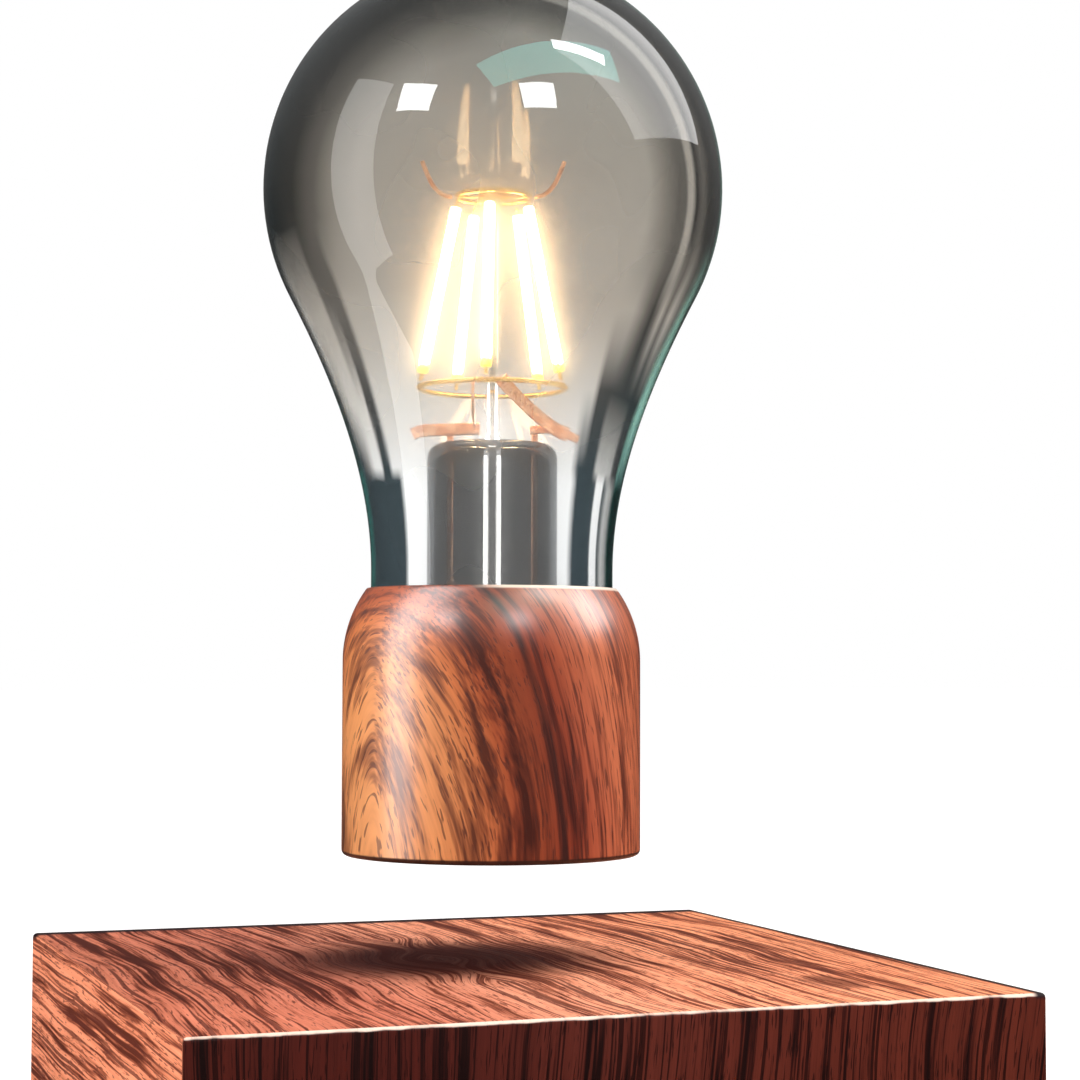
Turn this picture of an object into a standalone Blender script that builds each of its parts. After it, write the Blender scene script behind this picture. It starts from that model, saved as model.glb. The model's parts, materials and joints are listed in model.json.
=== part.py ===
import math

import bmesh
import bpy
from mathutils import Matrix, Vector

# Levitating bulb lamp: a wooden base block with electromagnets inside, and above it a floating
# LED filament bulb in a turned wooden cap that holds a magnet. Metres, +Z up, feet at z = 0.

mm = 0.001

# Fits that all pieces share
seat_gap = 0.3 * mm
cut_overrun = 1.0 * mm
wire_gap = 0.3 * mm

# Base block
base_side = 102.0 * mm
base_height = 25.0 * mm
base_chamfer = 0.6 * mm
base_wall = 8.0 * mm
base_roof = 3.0 * mm
cavity_corner_radius = 14.0 * mm
rebate_lip = 5.0 * mm
rebate_corner_radius = 3.0 * mm
screw_edge = 3.6 * mm

# Bottom plate, its standoffs, feet and screws
plate_thickness = 2.0 * mm
standoff_height = 3.0 * mm
standoff_radius = 2.6 * mm
peg_radius = 1.2 * mm
peg_edge = 3.0 * mm
peg_spread = 13.0 * mm
foot_radius = 5.0 * mm
foot_height = 1.5 * mm
foot_chamfer = 0.4 * mm
foot_inset = 18.0 * mm
screw_head_radius = 2.5 * mm
screw_head_height = 1.2 * mm
screw_shank_radius = 1.3 * mm
screw_grip = 7.0 * mm
screw_tip = 1.2 * mm
screw_slot_width = 0.8 * mm
screw_slot_depth = 0.6 * mm

# Main board and what stands on it
board_edge_gap = 3.0 * mm
board_corner_gap = 1.0 * mm
board_thickness = 1.6 * mm
ring_magnet_inner_radius = 18.5 * mm
ring_magnet_width = 6.5 * mm
ring_magnet_height = 6.0 * mm
ring_magnet_chamfer = 0.6 * mm
coil_circle_radius = 9.6 * mm
bobbin_radius = 5.0 * mm
bobbin_flange = 0.8 * mm
bobbin_wall = 0.6 * mm
core_radius = 1.3 * mm
winding_rim = 0.4 * mm
sensor_length = 2.5 * mm
sensor_width = 1.6 * mm
sensor_height = 1.5 * mm
sensor_pitch = 2.0 * mm
ferrite_radius = 24.0 * mm
ferrite_thickness = 0.8 * mm
transmitter_radius = 22.0 * mm
transmitter_bore_radius = 9.0 * mm
transmitter_thickness = 1.8 * mm
capacitor_radius = 3.6 * mm
capacitor_height = 10.0 * mm
capacitor_rim = 0.5 * mm
inductor_side = 7.0 * mm
inductor_height = 5.0 * mm
corner_part_edge = 8.0 * mm
chip_length = 5.0 * mm
chip_width = 4.0 * mm
chip_height = 1.5 * mm
chip_edge = 3.4 * mm
driver_spread = 14.0 * mm
controller_length = 7.0 * mm
regulator_offset = 17.0 * mm

# Power inlet
jack_nose_radius = 5.0 * mm
jack_nose_length = 2.7 * mm
jack_width = 9.0 * mm
jack_depth = 8.4 * mm
jack_bore_radius = 3.2 * mm
jack_bore_depth = 9.0 * mm
jack_pin_radius = 1.0 * mm
jack_pin_recess = 0.8 * mm
inlet_recess_radius = 6.5 * mm

# Floating bulb
levitation_gap = 13.6 * mm
cap_wall = 3.3 * mm
cap_height = 34.3 * mm
cap_rim = 0.25 * mm
cap_shoulder_height = 9.4 * mm
cap_foot_round = 0.7 * mm
cover_thickness = 1.6 * mm
cover_ledge = 1.3 * mm
magnet_height = 10.0 * mm
magnet_chamfer = 0.5 * mm
receiver_coil_width = 3.1 * mm
receiver_coil_height = 4.0 * mm
receiver_coil_gap = 0.6 * mm
cup_roof = 2.0 * mm
receiver_board_thickness = 1.2 * mm
receiver_board_inset = 1.2 * mm
rectifier_length = 5.0 * mm
rectifier_edge = 7.5 * mm
smoothing_radius = 3.0 * mm
smoothing_height = 6.0 * mm
smoothing_bore_gap = 0.8 * mm
bulb_seat_thickness = 3.0 * mm
bulb_seat_width = 6.7 * mm

# Glass
bulb_radius = 30.0 * mm
bulb_centre_height = 52.1 * mm
pear_angle = math.radians(-27.6)
pear_upper_handle = 15.0 * mm
pear_lower_handle = 11.0 * mm
neck_radius = 15.7 * mm
neck_straight = 2.2 * mm
neck_depth = 7.0 * mm
glass_thickness = 0.8 * mm
stem_radius = 8.5 * mm
stem_height = 26.0 * mm
stem_wall = 0.9 * mm
stem_foot = 0.9 * mm
stem_waist_height = 9.0 * mm
stem_round = 2.0 * mm
pillar_radius = 1.15 * mm
pillar_overhang = 1.5 * mm

# Filament mount, turned about the lamp's axis as in the photo
mount_turn = math.radians(-20.3)
first_filament_angle = math.radians(-22.0)
filament_count = 5
filament_radius = 0.75 * mm
filament_round = 0.35 * mm
filament_pin_radius = 0.25 * mm
filament_pin_length = 1.0 * mm
ring_standoff = 7.3 * mm
ring_radius = 9.6 * mm
ring_wire_radius = 0.4 * mm
hub_height = 51.5 * mm
hub_radius = 4.75 * mm
hub_wire_radius = 0.35 * mm
hub_collar_wall = 0.6 * mm
hub_collar_height = 1.2 * mm
hook_reach = 4.6 * mm
hook_rise = 4.7 * mm
hook_wire_radius = 0.3 * mm
lead_radius = 0.45 * mm
lead_offset = 5.5 * mm
lead_rise = 1.2 * mm
lead_knee_height = 1.6 * mm
left_lead_angle = math.radians(-104.0)
lead_spread = math.radians(22.0)
right_knee_reach = 8.6 * mm

# Smoothness of the turned pieces
glass_segments = 40
turned_segments = 32
small_segments = 16
tiny_segments = 8
corner_steps = 3
sphere_steps = 12
pear_steps = 8
shoulder_steps = 5
stem_steps = 4

# Heights worked out from the sizes above
base_bottom = foot_height
base_top = base_bottom + base_height
cavity_ceiling = base_top - base_roof
plate_low = base_bottom + seat_gap
plate_high = plate_low + plate_thickness
board_low = plate_high + standoff_height + seat_gap
board_high = board_low + board_thickness
part_low = board_high + seat_gap
transmitter_high = cavity_ceiling - seat_gap
transmitter_low = transmitter_high - transmitter_thickness
ferrite_high = transmitter_low - seat_gap
ferrite_low = ferrite_high - ferrite_thickness
coil_high = ferrite_low - seat_gap

cap_low = base_top + levitation_gap
cap_high = cap_low + cap_height
cover_high = cap_low + cover_thickness
magnet_low = cover_high + seat_gap
magnet_high = magnet_low + magnet_height
receiver_coil_high = magnet_low + receiver_coil_height
cup_low = receiver_coil_high + seat_gap
cup_high = magnet_high + seat_gap + cup_roof
receiver_board_low = cup_high + seat_gap
receiver_board_high = receiver_board_low + receiver_board_thickness
float_part_low = receiver_board_high + seat_gap
neck_low = cap_high - neck_depth
bulb_seat_high = neck_low - seat_gap
stem_top = neck_low + stem_height
bulb_centre = cap_high + bulb_centre_height
ring_level = stem_top + ring_standoff
hub_level = cap_high + hub_height

# Widths worked out from the sizes above
base_half = base_side / 2
cavity_half = base_half - base_wall
rebate_half = base_half - rebate_lip
plate_half = rebate_half - seat_gap
board_half = cavity_half - board_edge_gap
board_corner_run = cavity_corner_radius - board_edge_gap
board_corner_cut = board_corner_run - math.sqrt((cavity_corner_radius - board_corner_gap) ** 2
                                                - board_corner_run ** 2)
ring_magnet_outer_radius = ring_magnet_inner_radius + ring_magnet_width
screw_place = cavity_half - cavity_corner_radius + (cavity_corner_radius + screw_edge) * math.sqrt(0.5)
peg_place = board_half - peg_edge
foot_place = base_half - foot_inset
bore_radius = neck_radius + seat_gap
insert_radius = bore_radius - seat_gap
cover_recess_radius = bore_radius + cover_ledge
cap_radius = bore_radius + cap_wall
cap_draw_in = cap_wall - cap_rim
cap_shoulder_radius = (cap_draw_in ** 2 + cap_shoulder_height ** 2) / (2 * cap_draw_in)
magnet_radius = insert_radius - receiver_coil_width - receiver_coil_gap
receiver_board_radius = insert_radius - receiver_board_inset
rectifier_offset = receiver_board_radius - rectifier_edge
bulb_seat_bore_radius = insert_radius - bulb_seat_width
smoothing_offset = bulb_seat_bore_radius - smoothing_bore_gap - smoothing_radius
right_lead_angle = left_lead_angle + lead_spread
jack_level = part_low + jack_width / 2
jack_front = cavity_half - seat_gap + jack_nose_length
jack_back = cavity_half - seat_gap - jack_depth
pillar_bore_radius = pillar_radius + wire_gap


def clear_scene():
    for piece in list(bpy.data.objects):
        bpy.data.objects.remove(piece, do_unlink=True)


def finish(name, colour, roughness, metallic=0.0, transmission=0.0, glow=0.0):
    """A Principled material with the piece's own colour."""
    material = bpy.data.materials.new(name)
    material.use_nodes = True
    material.diffuse_color = (*colour, 1.0)
    shader = material.node_tree.nodes["Principled BSDF"]
    shader.inputs["Base Color"].default_value = (*colour, 1.0)
    shader.inputs["Roughness"].default_value = roughness
    shader.inputs["Metallic"].default_value = metallic
    shader.inputs["Transmission Weight"].default_value = transmission
    shader.inputs["Emission Color"].default_value = (*colour, 1.0)
    shader.inputs["Emission Strength"].default_value = glow
    return material


def finishes():
    return {
        "base_wood": finish("base_wood", (0.30, 0.10, 0.05), 0.42),
        "cap_wood": finish("cap_wood", (0.48, 0.20, 0.09), 0.35),
        "dark_plastic": finish("dark_plastic", (0.03, 0.03, 0.03), 0.5),
        "rubber": finish("rubber", (0.02, 0.02, 0.02), 0.85),
        "steel": finish("steel", (0.60, 0.60, 0.60), 0.3, metallic=1.0),
        "ferrite": finish("ferrite", (0.07, 0.07, 0.08), 0.6),
        "magnet": finish("magnet", (0.75, 0.75, 0.76), 0.2, metallic=1.0),
        "copper": finish("copper", (0.72, 0.38, 0.20), 0.3, metallic=1.0),
        "brass_wire": finish("brass_wire", (0.85, 0.70, 0.25), 0.3, metallic=1.0),
        "circuit_board": finish("circuit_board", (0.03, 0.18, 0.09), 0.4),
        "chip": finish("chip", (0.02, 0.02, 0.02), 0.45),
        "pale_plastic": finish("pale_plastic", (0.75, 0.73, 0.68), 0.5),
        "smoky_glass": finish("smoky_glass", (0.55, 0.54, 0.52), 0.03, transmission=1.0),
        "clear_glass": finish("clear_glass", (0.85, 0.86, 0.86), 0.03, transmission=1.0),
        "phosphor": finish("phosphor", (1.0, 0.80, 0.35), 0.5, glow=3.0),
    }


def axis_empty(name, parent, height):
    """An empty on the lamp's axis that carries one moving body."""
    empty = bpy.data.objects.new(name, None)
    bpy.context.collection.objects.link(empty)
    empty.parent = parent
    empty.location = (0, 0, height)
    return empty


def add_piece(name, mesh_data, material, body, place=Matrix()):
    """Makes the object from a bmesh built in the lamp's frame and hangs it on its body's empty."""
    bmesh.ops.recalc_face_normals(mesh_data, faces=mesh_data.faces)
    mesh = bpy.data.meshes.new(name)
    mesh_data.to_mesh(mesh)
    mesh_data.free()
    piece = bpy.data.objects.new(name, mesh)
    bpy.context.collection.objects.link(piece)
    if material:
        mesh.materials.append(material)
    mesh.shade_smooth()
    mesh.set_sharp_from_angle(angle=math.radians(35))
    if body:
        piece.parent = body
        body_place = Matrix.Translation((0, 0, body_height(body)))
        piece.matrix_local = body_place.inverted() @ place
    else:
        piece.matrix_world = place
    return piece


def body_height(body):
    """Height of an empty above the floor, through its parents."""
    height = 0.0
    while body:
        height += body.location.z
        body = body.parent
    return height


def turned_mesh(profile, segments):
    """Spins a profile of (radius, height) points about Z. A profile whose ends both lie on the axis
    gives a solid, any other is closed into a ring."""
    solid = profile[0][0] == 0 and profile[-1][0] == 0
    mesh_data = bmesh.new()
    points = [mesh_data.verts.new((radius, 0, height)) for radius, height in profile]
    edges = [mesh_data.edges.new(pair) for pair in zip(points, points[1:])]
    if not solid:
        edges.append(mesh_data.edges.new((points[-1], points[0])))
    bmesh.ops.spin(mesh_data, geom=points + edges, cent=(0, 0, 0), axis=(0, 0, 1),
                   angle=math.tau, steps=segments, use_merge=True)
    bmesh.ops.remove_doubles(mesh_data, verts=mesh_data.verts, dist=0.001 * mm)
    return mesh_data


def turned(name, profile, segments, material, body, centre=(0, 0), place=None):
    mesh_data = turned_mesh(profile, segments)
    where = place or Matrix.Translation((*centre, 0))
    return add_piece(name, mesh_data, material, body, where)


def disc_profile(radius, low, high, chamfer=0.0):
    """Solid disc, with its rims broken by a chamfer."""
    if not chamfer:
        return [(0, low), (radius, low), (radius, high), (0, high)]
    return [(0, low), (radius - chamfer, low), (radius, low + chamfer),
            (radius, high - chamfer), (radius - chamfer, high), (0, high)]


def ring_profile(inner, outer, low, high, chamfer=0.0):
    """Flat ring of rectangular section, with its outer rims broken by a chamfer."""
    if not chamfer:
        return [(inner, low), (outer, low), (outer, high), (inner, high)]
    return [(inner, low), (outer - chamfer, low), (outer, low + chamfer),
            (outer, high - chamfer), (outer - chamfer, high), (inner, high)]


def wire_circle(radius, wire_radius, height, sides=6):
    """Section of a round wire bent into a ring."""
    turns = [math.tau * step / sides for step in range(sides)]
    return [(radius + wire_radius * math.cos(turn), height + wire_radius * math.sin(turn))
            for turn in turns]


def arc(centre, radius, start, end, steps):
    """Points along an arc from one angle to another, both ends included."""
    turns = [start + (end - start) * step / steps for step in range(steps + 1)]
    return [(centre[0] + radius * math.cos(turn), centre[1] + radius * math.sin(turn))
            for turn in turns]


def bezier(start, start_handle, end_handle, end, steps):
    """Points along a cubic curve, both ends included."""
    corners = [Vector(corner) for corner in (start, start_handle, end_handle, end)]
    points = []
    for step in range(steps + 1):
        share = step / steps
        rest = 1 - share
        point = (corners[0] * rest ** 3 + corners[1] * 3 * rest ** 2 * share
                 + corners[2] * 3 * rest * share ** 2 + corners[3] * share ** 3)
        points.append(tuple(point))
    return points


def rounded_outline(half_x, half_y, corner_radius, steps=corner_steps):
    """Corner points of a rectangle with round corners, anticlockwise."""
    points = []
    for turn, side_x, side_y in ((0, 1, 1), (1, -1, 1), (2, -1, -1), (3, 1, -1)):
        centre = (side_x * (half_x - corner_radius), side_y * (half_y - corner_radius))
        start = turn * math.pi / 2
        points += arc(centre, corner_radius, start, start + math.pi / 2, steps)
    return points


def prism_mesh(outline, low, high):
    """Extrudes a flat outline from one height to another."""
    mesh_data = bmesh.new()
    floor = mesh_data.faces.new([mesh_data.verts.new((x, y, low)) for x, y in outline])
    grown = bmesh.ops.extrude_face_region(mesh_data, geom=[floor])
    moved = [item for item in grown["geom"] if isinstance(item, bmesh.types.BMVert)]
    bmesh.ops.translate(mesh_data, verts=moved, vec=(0, 0, high - low))
    return mesh_data


def box_outline(half_x, half_y, centre=(0, 0)):
    return [(centre[0] - half_x, centre[1] - half_y), (centre[0] + half_x, centre[1] - half_y),
            (centre[0] + half_x, centre[1] + half_y), (centre[0] - half_x, centre[1] + half_y)]


def prism(name, outline, low, high, material, body):
    return add_piece(name, prism_mesh(outline, low, high), material, body)


def tool(name, mesh_data, place=Matrix()):
    """A body used only to cut or to join; it isn't a piece of the lamp."""
    piece = add_piece(name, mesh_data, None, None, place)
    piece.hide_render = True
    piece.display_type = "WIRE"
    return piece


def combine(piece, helper, operation):
    step = piece.modifiers.new(helper.name, "BOOLEAN")
    step.operation = operation
    step.solver = "EXACT"
    step.object = helper


def cut(piece, helper):
    combine(piece, helper, "DIFFERENCE")


def join(piece, helper):
    combine(piece, helper, "UNION")


def soften(piece, width):
    """Breaks all sharp edges of a piece."""
    step = piece.modifiers.new("edge_break", "BEVEL")
    step.width = width
    step.segments = 1
    step.limit_method = "ANGLE"
    step.angle_limit = math.radians(40)


def out_of_back(y, z):
    """Place that turns a part's own Z axis so that it points out of the back wall."""
    return Matrix.Translation((0, y, z)) @ Matrix.Rotation(-math.pi / 2, 4, "X")


def four_corners(place):
    return [(place, -place), (place, place), (-place, place), (-place, -place)]


def build_housing(materials, body):
    housing = prism("base_housing", box_outline(base_half, base_half), base_bottom, base_top,
                    materials["base_wood"], body)
    soften(housing, base_chamfer)
    rebate = rounded_outline(rebate_half, rebate_half, rebate_corner_radius)
    cut(housing, tool("rebate_cut", prism_mesh(rebate, base_bottom - cut_overrun, plate_high + seat_gap)))
    cavity = rounded_outline(cavity_half, cavity_half, cavity_corner_radius)
    cut(housing, tool("cavity_cut", prism_mesh(cavity, base_bottom - cut_overrun, cavity_ceiling)))
    nose = disc_profile(jack_nose_radius + seat_gap, -jack_nose_length - base_wall / 2, cut_overrun)
    front = out_of_back(jack_front, jack_level)
    cut(housing, tool("nose_cut", turned_mesh(nose, small_segments), front))
    recess = disc_profile(inlet_recess_radius, seat_gap, base_wall)
    cut(housing, tool("recess_cut", turned_mesh(recess, small_segments), front))
    for number, corner in enumerate(four_corners(screw_place), 1):
        hole = disc_profile(screw_shank_radius + seat_gap, base_bottom, plate_high + screw_grip + seat_gap)
        cut(housing, tool(f"pilot_cut_{number}", turned_mesh(hole, tiny_segments),
                          Matrix.Translation((*corner, 0))))


def build_plate(materials, body):
    outline = rounded_outline(plate_half, plate_half, rebate_corner_radius)
    plate = prism("base_plate", outline, plate_low, plate_high, materials["dark_plastic"], body)
    pegs = [(side_x * peg_place, side_y * peg_spread) for side_x in (-1, 1) for side_y in (-1, 1)]
    for number, corner in enumerate(pegs, 1):
        peg = [(0, plate_low + plate_thickness / 2), (standoff_radius, plate_low + plate_thickness / 2),
               (standoff_radius, board_low - seat_gap), (peg_radius, board_low - seat_gap),
               (peg_radius, board_high), (0, board_high)]
        join(plate, tool(f"standoff_{number}", turned_mesh(peg, tiny_segments),
                         Matrix.Translation((*corner, 0))))
    for number, corner in enumerate(four_corners(screw_place), 1):
        sink = plate_low + screw_head_height + seat_gap
        hole = [(0, plate_low - cut_overrun), (screw_head_radius + seat_gap, plate_low - cut_overrun),
                (screw_head_radius + seat_gap, sink), (screw_shank_radius + seat_gap, sink),
                (screw_shank_radius + seat_gap, plate_high + cut_overrun), (0, plate_high + cut_overrun)]
        cut(plate, tool(f"screw_hole_{number}", turned_mesh(hole, small_segments),
                        Matrix.Translation((*corner, 0))))


def build_screws_and_feet(materials, body):
    head_high = plate_low + screw_head_height
    profile = [(0, plate_low), (screw_head_radius, plate_low), (screw_head_radius, head_high),
               (screw_shank_radius, head_high), (screw_shank_radius, plate_high + screw_grip - screw_tip),
               (0, plate_high + screw_grip)]
    for number, corner in enumerate(four_corners(screw_place), 1):
        screw = turned(f"base_screw_{number}", profile, small_segments, materials["steel"], body, corner)
        slot = box_outline(screw_head_radius + cut_overrun, screw_slot_width / 2, corner)
        cut(screw, tool(f"slot_{number}", prism_mesh(slot, plate_low - cut_overrun,
                                                     plate_low + screw_slot_depth)))
    rubber = [(0, 0), (foot_radius - foot_chamfer, 0), (foot_radius, foot_chamfer),
              (foot_radius, foot_height), (0, foot_height)]
    for number, corner in enumerate(four_corners(foot_place), 1):
        turned(f"foot_{number}", rubber, small_segments, materials["rubber"], body, corner)


def build_board(materials, body):
    reach = board_half - board_corner_cut
    outline = [(board_half, -reach), (board_half, reach), (reach, board_half), (-reach, board_half),
               (-board_half, reach), (-board_half, -reach), (-reach, -board_half), (reach, -board_half)]
    board = prism("main_board", outline, board_low, board_high, materials["circuit_board"], body)
    pegs = [(side_x * peg_place, side_y * peg_spread) for side_x in (-1, 1) for side_y in (-1, 1)]
    for number, corner in enumerate(pegs, 1):
        hole = disc_profile(peg_radius + seat_gap, board_low - cut_overrun, board_high + cut_overrun)
        cut(board, tool(f"peg_hole_{number}", turned_mesh(hole, tiny_segments),
                        Matrix.Translation((*corner, 0))))
    corner_place = board_half - corner_part_edge
    can = disc_profile(capacitor_radius, part_low, part_low + capacitor_height, capacitor_rim)
    for number, side_x in enumerate((-1, 1), 1):
        turned(f"filter_capacitor_{number}", can, small_segments, materials["magnet"], body,
               (side_x * corner_place, -corner_place))
    block = box_outline(inductor_side / 2, inductor_side / 2, (-corner_place, corner_place))
    prism("power_inductor", block, part_low, part_low + inductor_height, materials["ferrite"], body)
    chip_row = -board_half + chip_edge
    chips = {
        "driver_chip_1": (chip_length, (-driver_spread, chip_row)),
        "driver_chip_2": (chip_length, (driver_spread, chip_row)),
        "microcontroller": (controller_length, (0, chip_row)),
        "voltage_regulator": (chip_length, (regulator_offset, -chip_row)),
    }
    for name, (length, centre) in chips.items():
        outline = box_outline(length / 2, chip_width / 2, centre)
        prism(name, outline, part_low, part_low + chip_height, materials["chip"], body)
    for number, name in enumerate(("x", "y", "z")):
        centre = (0, (number - 1) * sensor_pitch)
        outline = box_outline(sensor_length / 2, sensor_width / 2, centre)
        prism(f"hall_sensor_{name}", outline, part_low, part_low + sensor_height,
              materials["chip"], body)


def build_magnetics(materials, body):
    magnet = ring_profile(ring_magnet_inner_radius, ring_magnet_outer_radius, part_low,
                          part_low + ring_magnet_height, ring_magnet_chamfer)
    turned("ring_magnet", magnet, turned_segments, materials["ferrite"], body)
    core_bore = core_radius + seat_gap
    hub = core_bore + bobbin_wall
    low_flange = part_low + bobbin_flange
    high_flange = coil_high - bobbin_flange
    bobbin = [(core_bore, part_low), (bobbin_radius, part_low), (bobbin_radius, low_flange),
              (hub, low_flange), (hub, high_flange), (bobbin_radius, high_flange),
              (bobbin_radius, coil_high), (core_bore, coil_high)]
    winding = ring_profile(hub + seat_gap, bobbin_radius - winding_rim,
                           low_flange + seat_gap, high_flange - seat_gap)
    core = disc_profile(core_radius, part_low, coil_high)
    for number in range(4):
        turn = math.pi / 4 + number * math.pi / 2
        centre = (coil_circle_radius * math.cos(turn), coil_circle_radius * math.sin(turn))
        turned(f"coil_bobbin_{number + 1}", bobbin, small_segments, materials["pale_plastic"], body, centre)
        turned(f"coil_winding_{number + 1}", winding, small_segments, materials["copper"], body, centre)
        turned(f"coil_core_{number + 1}", core, tiny_segments, materials["steel"], body, centre)
    sheet = disc_profile(ferrite_radius, ferrite_low, ferrite_high)
    turned("ferrite_sheet", sheet, turned_segments, materials["ferrite"], body)
    coil = ring_profile(transmitter_bore_radius, transmitter_radius, transmitter_low, transmitter_high)
    turned("transmitter_coil", coil, turned_segments, materials["copper"], body)


def build_inlet(materials, body):
    """Barrel socket: a square body inside the wall with a round nose in the wall."""
    half = jack_width / 2
    wall_face = cavity_half - seat_gap
    outline = box_outline(half, (wall_face - jack_back) / 2, (0, (wall_face + jack_back) / 2))
    jack = prism("power_inlet", outline, jack_level - half, jack_level + half,
                 materials["dark_plastic"], body)
    front = out_of_back(jack_front, jack_level)
    nose = disc_profile(jack_nose_radius, -jack_nose_length - cut_overrun, 0)
    bore = [(0, cut_overrun), (jack_bore_radius, cut_overrun), (jack_bore_radius, -jack_bore_depth),
            (jack_pin_radius, -jack_bore_depth), (jack_pin_radius, -jack_pin_recess), (0, -jack_pin_recess)]
    join(jack, tool("inlet_nose", turned_mesh(nose, small_segments), front))
    cut(jack, tool("inlet_bore", turned_mesh(bore, small_segments), front))


def build_cap(materials, body):
    shoulder_low = cap_high - cap_shoulder_height
    centre = (cap_radius - cap_shoulder_radius, shoulder_low)
    shoulder = arc(centre, cap_shoulder_radius, 0, math.asin(cap_shoulder_height / cap_shoulder_radius),
                   shoulder_steps)
    recess_high = cover_high + seat_gap
    profile = ([(cover_recess_radius, cap_low), (cap_radius - cap_foot_round, cap_low),
                (cap_radius, cap_low + cap_foot_round)] + shoulder
               + [(bore_radius, cap_high), (bore_radius, recess_high), (cover_recess_radius, recess_high)])
    turned("wood_cap", profile, glass_segments, materials["cap_wood"], body)
    turned("cap_cover", disc_profile(cover_recess_radius - seat_gap, cap_low, cover_high),
           turned_segments, materials["dark_plastic"], body)


def build_float_drive(materials, lift, spin):
    turned("levitation_magnet", disc_profile(magnet_radius, magnet_low, magnet_high, magnet_chamfer),
           turned_segments, materials["magnet"], lift)
    coil = ring_profile(magnet_radius + receiver_coil_gap, insert_radius, magnet_low, receiver_coil_high)
    turned("receiver_coil", coil, turned_segments, materials["copper"], spin)
    recess_radius = magnet_radius + seat_gap
    recess_high = magnet_high + seat_gap
    cup = [(0, cup_high), (insert_radius, cup_high), (insert_radius, cup_low), (recess_radius, cup_low),
           (recess_radius, recess_high), (0, recess_high)]
    turned("magnet_cup", cup, turned_segments, materials["pale_plastic"], spin)
    board = disc_profile(receiver_board_radius, receiver_board_low, receiver_board_high)
    turned("receiver_board", board, turned_segments, materials["circuit_board"], spin)
    chip = box_outline(rectifier_length / 2, rectifier_length / 2, (0, -rectifier_offset))
    prism("rectifier_chip", chip, float_part_low, float_part_low + chip_height, materials["chip"], spin)
    can = disc_profile(smoothing_radius, float_part_low, float_part_low + smoothing_height, capacitor_rim)
    turned("smoothing_capacitor", can, small_segments, materials["magnet"], spin, (0, smoothing_offset))
    seat = ring_profile(bulb_seat_bore_radius, insert_radius, bulb_seat_high - bulb_seat_thickness,
                        bulb_seat_high)
    turned("bulb_seat", seat, turned_segments, materials["pale_plastic"], spin)


def envelope_outline(radius, neck):
    """Glass surface from the crown down to the neck's open end."""
    centre = (0, bulb_centre)
    crown = arc(centre, radius, math.pi / 2, pear_angle, sphere_steps)
    crown[0] = (0, crown[0][1])
    start = crown[-1]
    slope = (math.sin(pear_angle), -math.cos(pear_angle))
    straight_high = cap_high + neck_straight
    upper = (start[0] + slope[0] * pear_upper_handle, start[1] + slope[1] * pear_upper_handle)
    pear = bezier(start, upper, (neck, straight_high + pear_lower_handle), (neck, straight_high), pear_steps)
    return crown + pear[1:] + [(neck, neck_low)]


def build_glass(materials, body):
    outer = envelope_outline(bulb_radius, neck_radius)
    inner = envelope_outline(bulb_radius - glass_thickness, neck_radius - glass_thickness)
    turned("glass_envelope", outer + inner[::-1], glass_segments, materials["smoky_glass"], body)

    foot_radius_outer = neck_radius - glass_thickness - seat_gap
    waist = neck_low + stem_waist_height
    flare = bezier((foot_radius_outer, neck_low + stem_foot), (stem_radius, neck_low + stem_foot),
                   (stem_radius, neck_low + stem_foot), (stem_radius, waist), stem_steps)
    round_centre = (stem_radius - stem_round, stem_top - stem_round)
    outside = ([(foot_radius_outer, neck_low)] + flare
               + arc(round_centre, stem_round, 0, math.pi / 2, corner_steps) + [(0, stem_top)])
    inner_radius = stem_radius - stem_wall
    inner_foot = foot_radius_outer - stem_wall
    hollow_top = stem_top - stem_wall
    inner_flare = bezier((inner_foot, neck_low), (inner_radius, neck_low),
                         (inner_radius, neck_low), (inner_radius, waist), stem_steps)
    inner_round = (inner_radius - stem_round, hollow_top - stem_round)
    inside = inner_flare + arc(inner_round, stem_round, 0, math.pi / 2, corner_steps) + [(0, hollow_top)]
    stem = turned("glass_stem", outside[::-1] + inside, turned_segments, materials["clear_glass"], body)
    for number, side in enumerate((-1, 1), 1):
        hole = disc_profile(lead_radius + wire_gap, hollow_top - stem_round - cut_overrun,
                            stem_top + cut_overrun)
        cut(stem, tool(f"lead_hole_{number}", turned_mesh(hole, tiny_segments),
                       Matrix.Translation(mount_point(side * lead_offset, 0, 0))))
    pillar_high = hub_level + hub_collar_height / 2 + pillar_overhang
    pillar = disc_profile(pillar_radius, stem_top + seat_gap, pillar_high, pillar_radius / 2)
    turned("glass_pillar", pillar, tiny_segments, materials["clear_glass"], body)


def mount_point(across, depth, height):
    """A point of the filament mount: across and depth are turned with the mount about the axis."""
    return Matrix.Rotation(mount_turn, 4, "Z") @ Vector((across, depth, height))


def wire(name, points, radius, material, body):
    """Round wire along a smooth route, with flat ends."""
    curve = bpy.data.curves.new(name, "CURVE")
    curve.dimensions = "3D"
    curve.bevel_depth = radius
    curve.bevel_resolution = 1
    curve.use_fill_caps = True
    spline = curve.splines.new("POLY")
    spline.points.add(len(points) - 1)
    for knot, point in zip(spline.points, points):
        knot.co = (*(Vector(point) - Vector((0, 0, body_height(body)))), 1)
    curve.materials.append(material)
    piece = bpy.data.objects.new(name, curve)
    bpy.context.collection.objects.link(piece)
    piece.parent = body
    return piece


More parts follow.
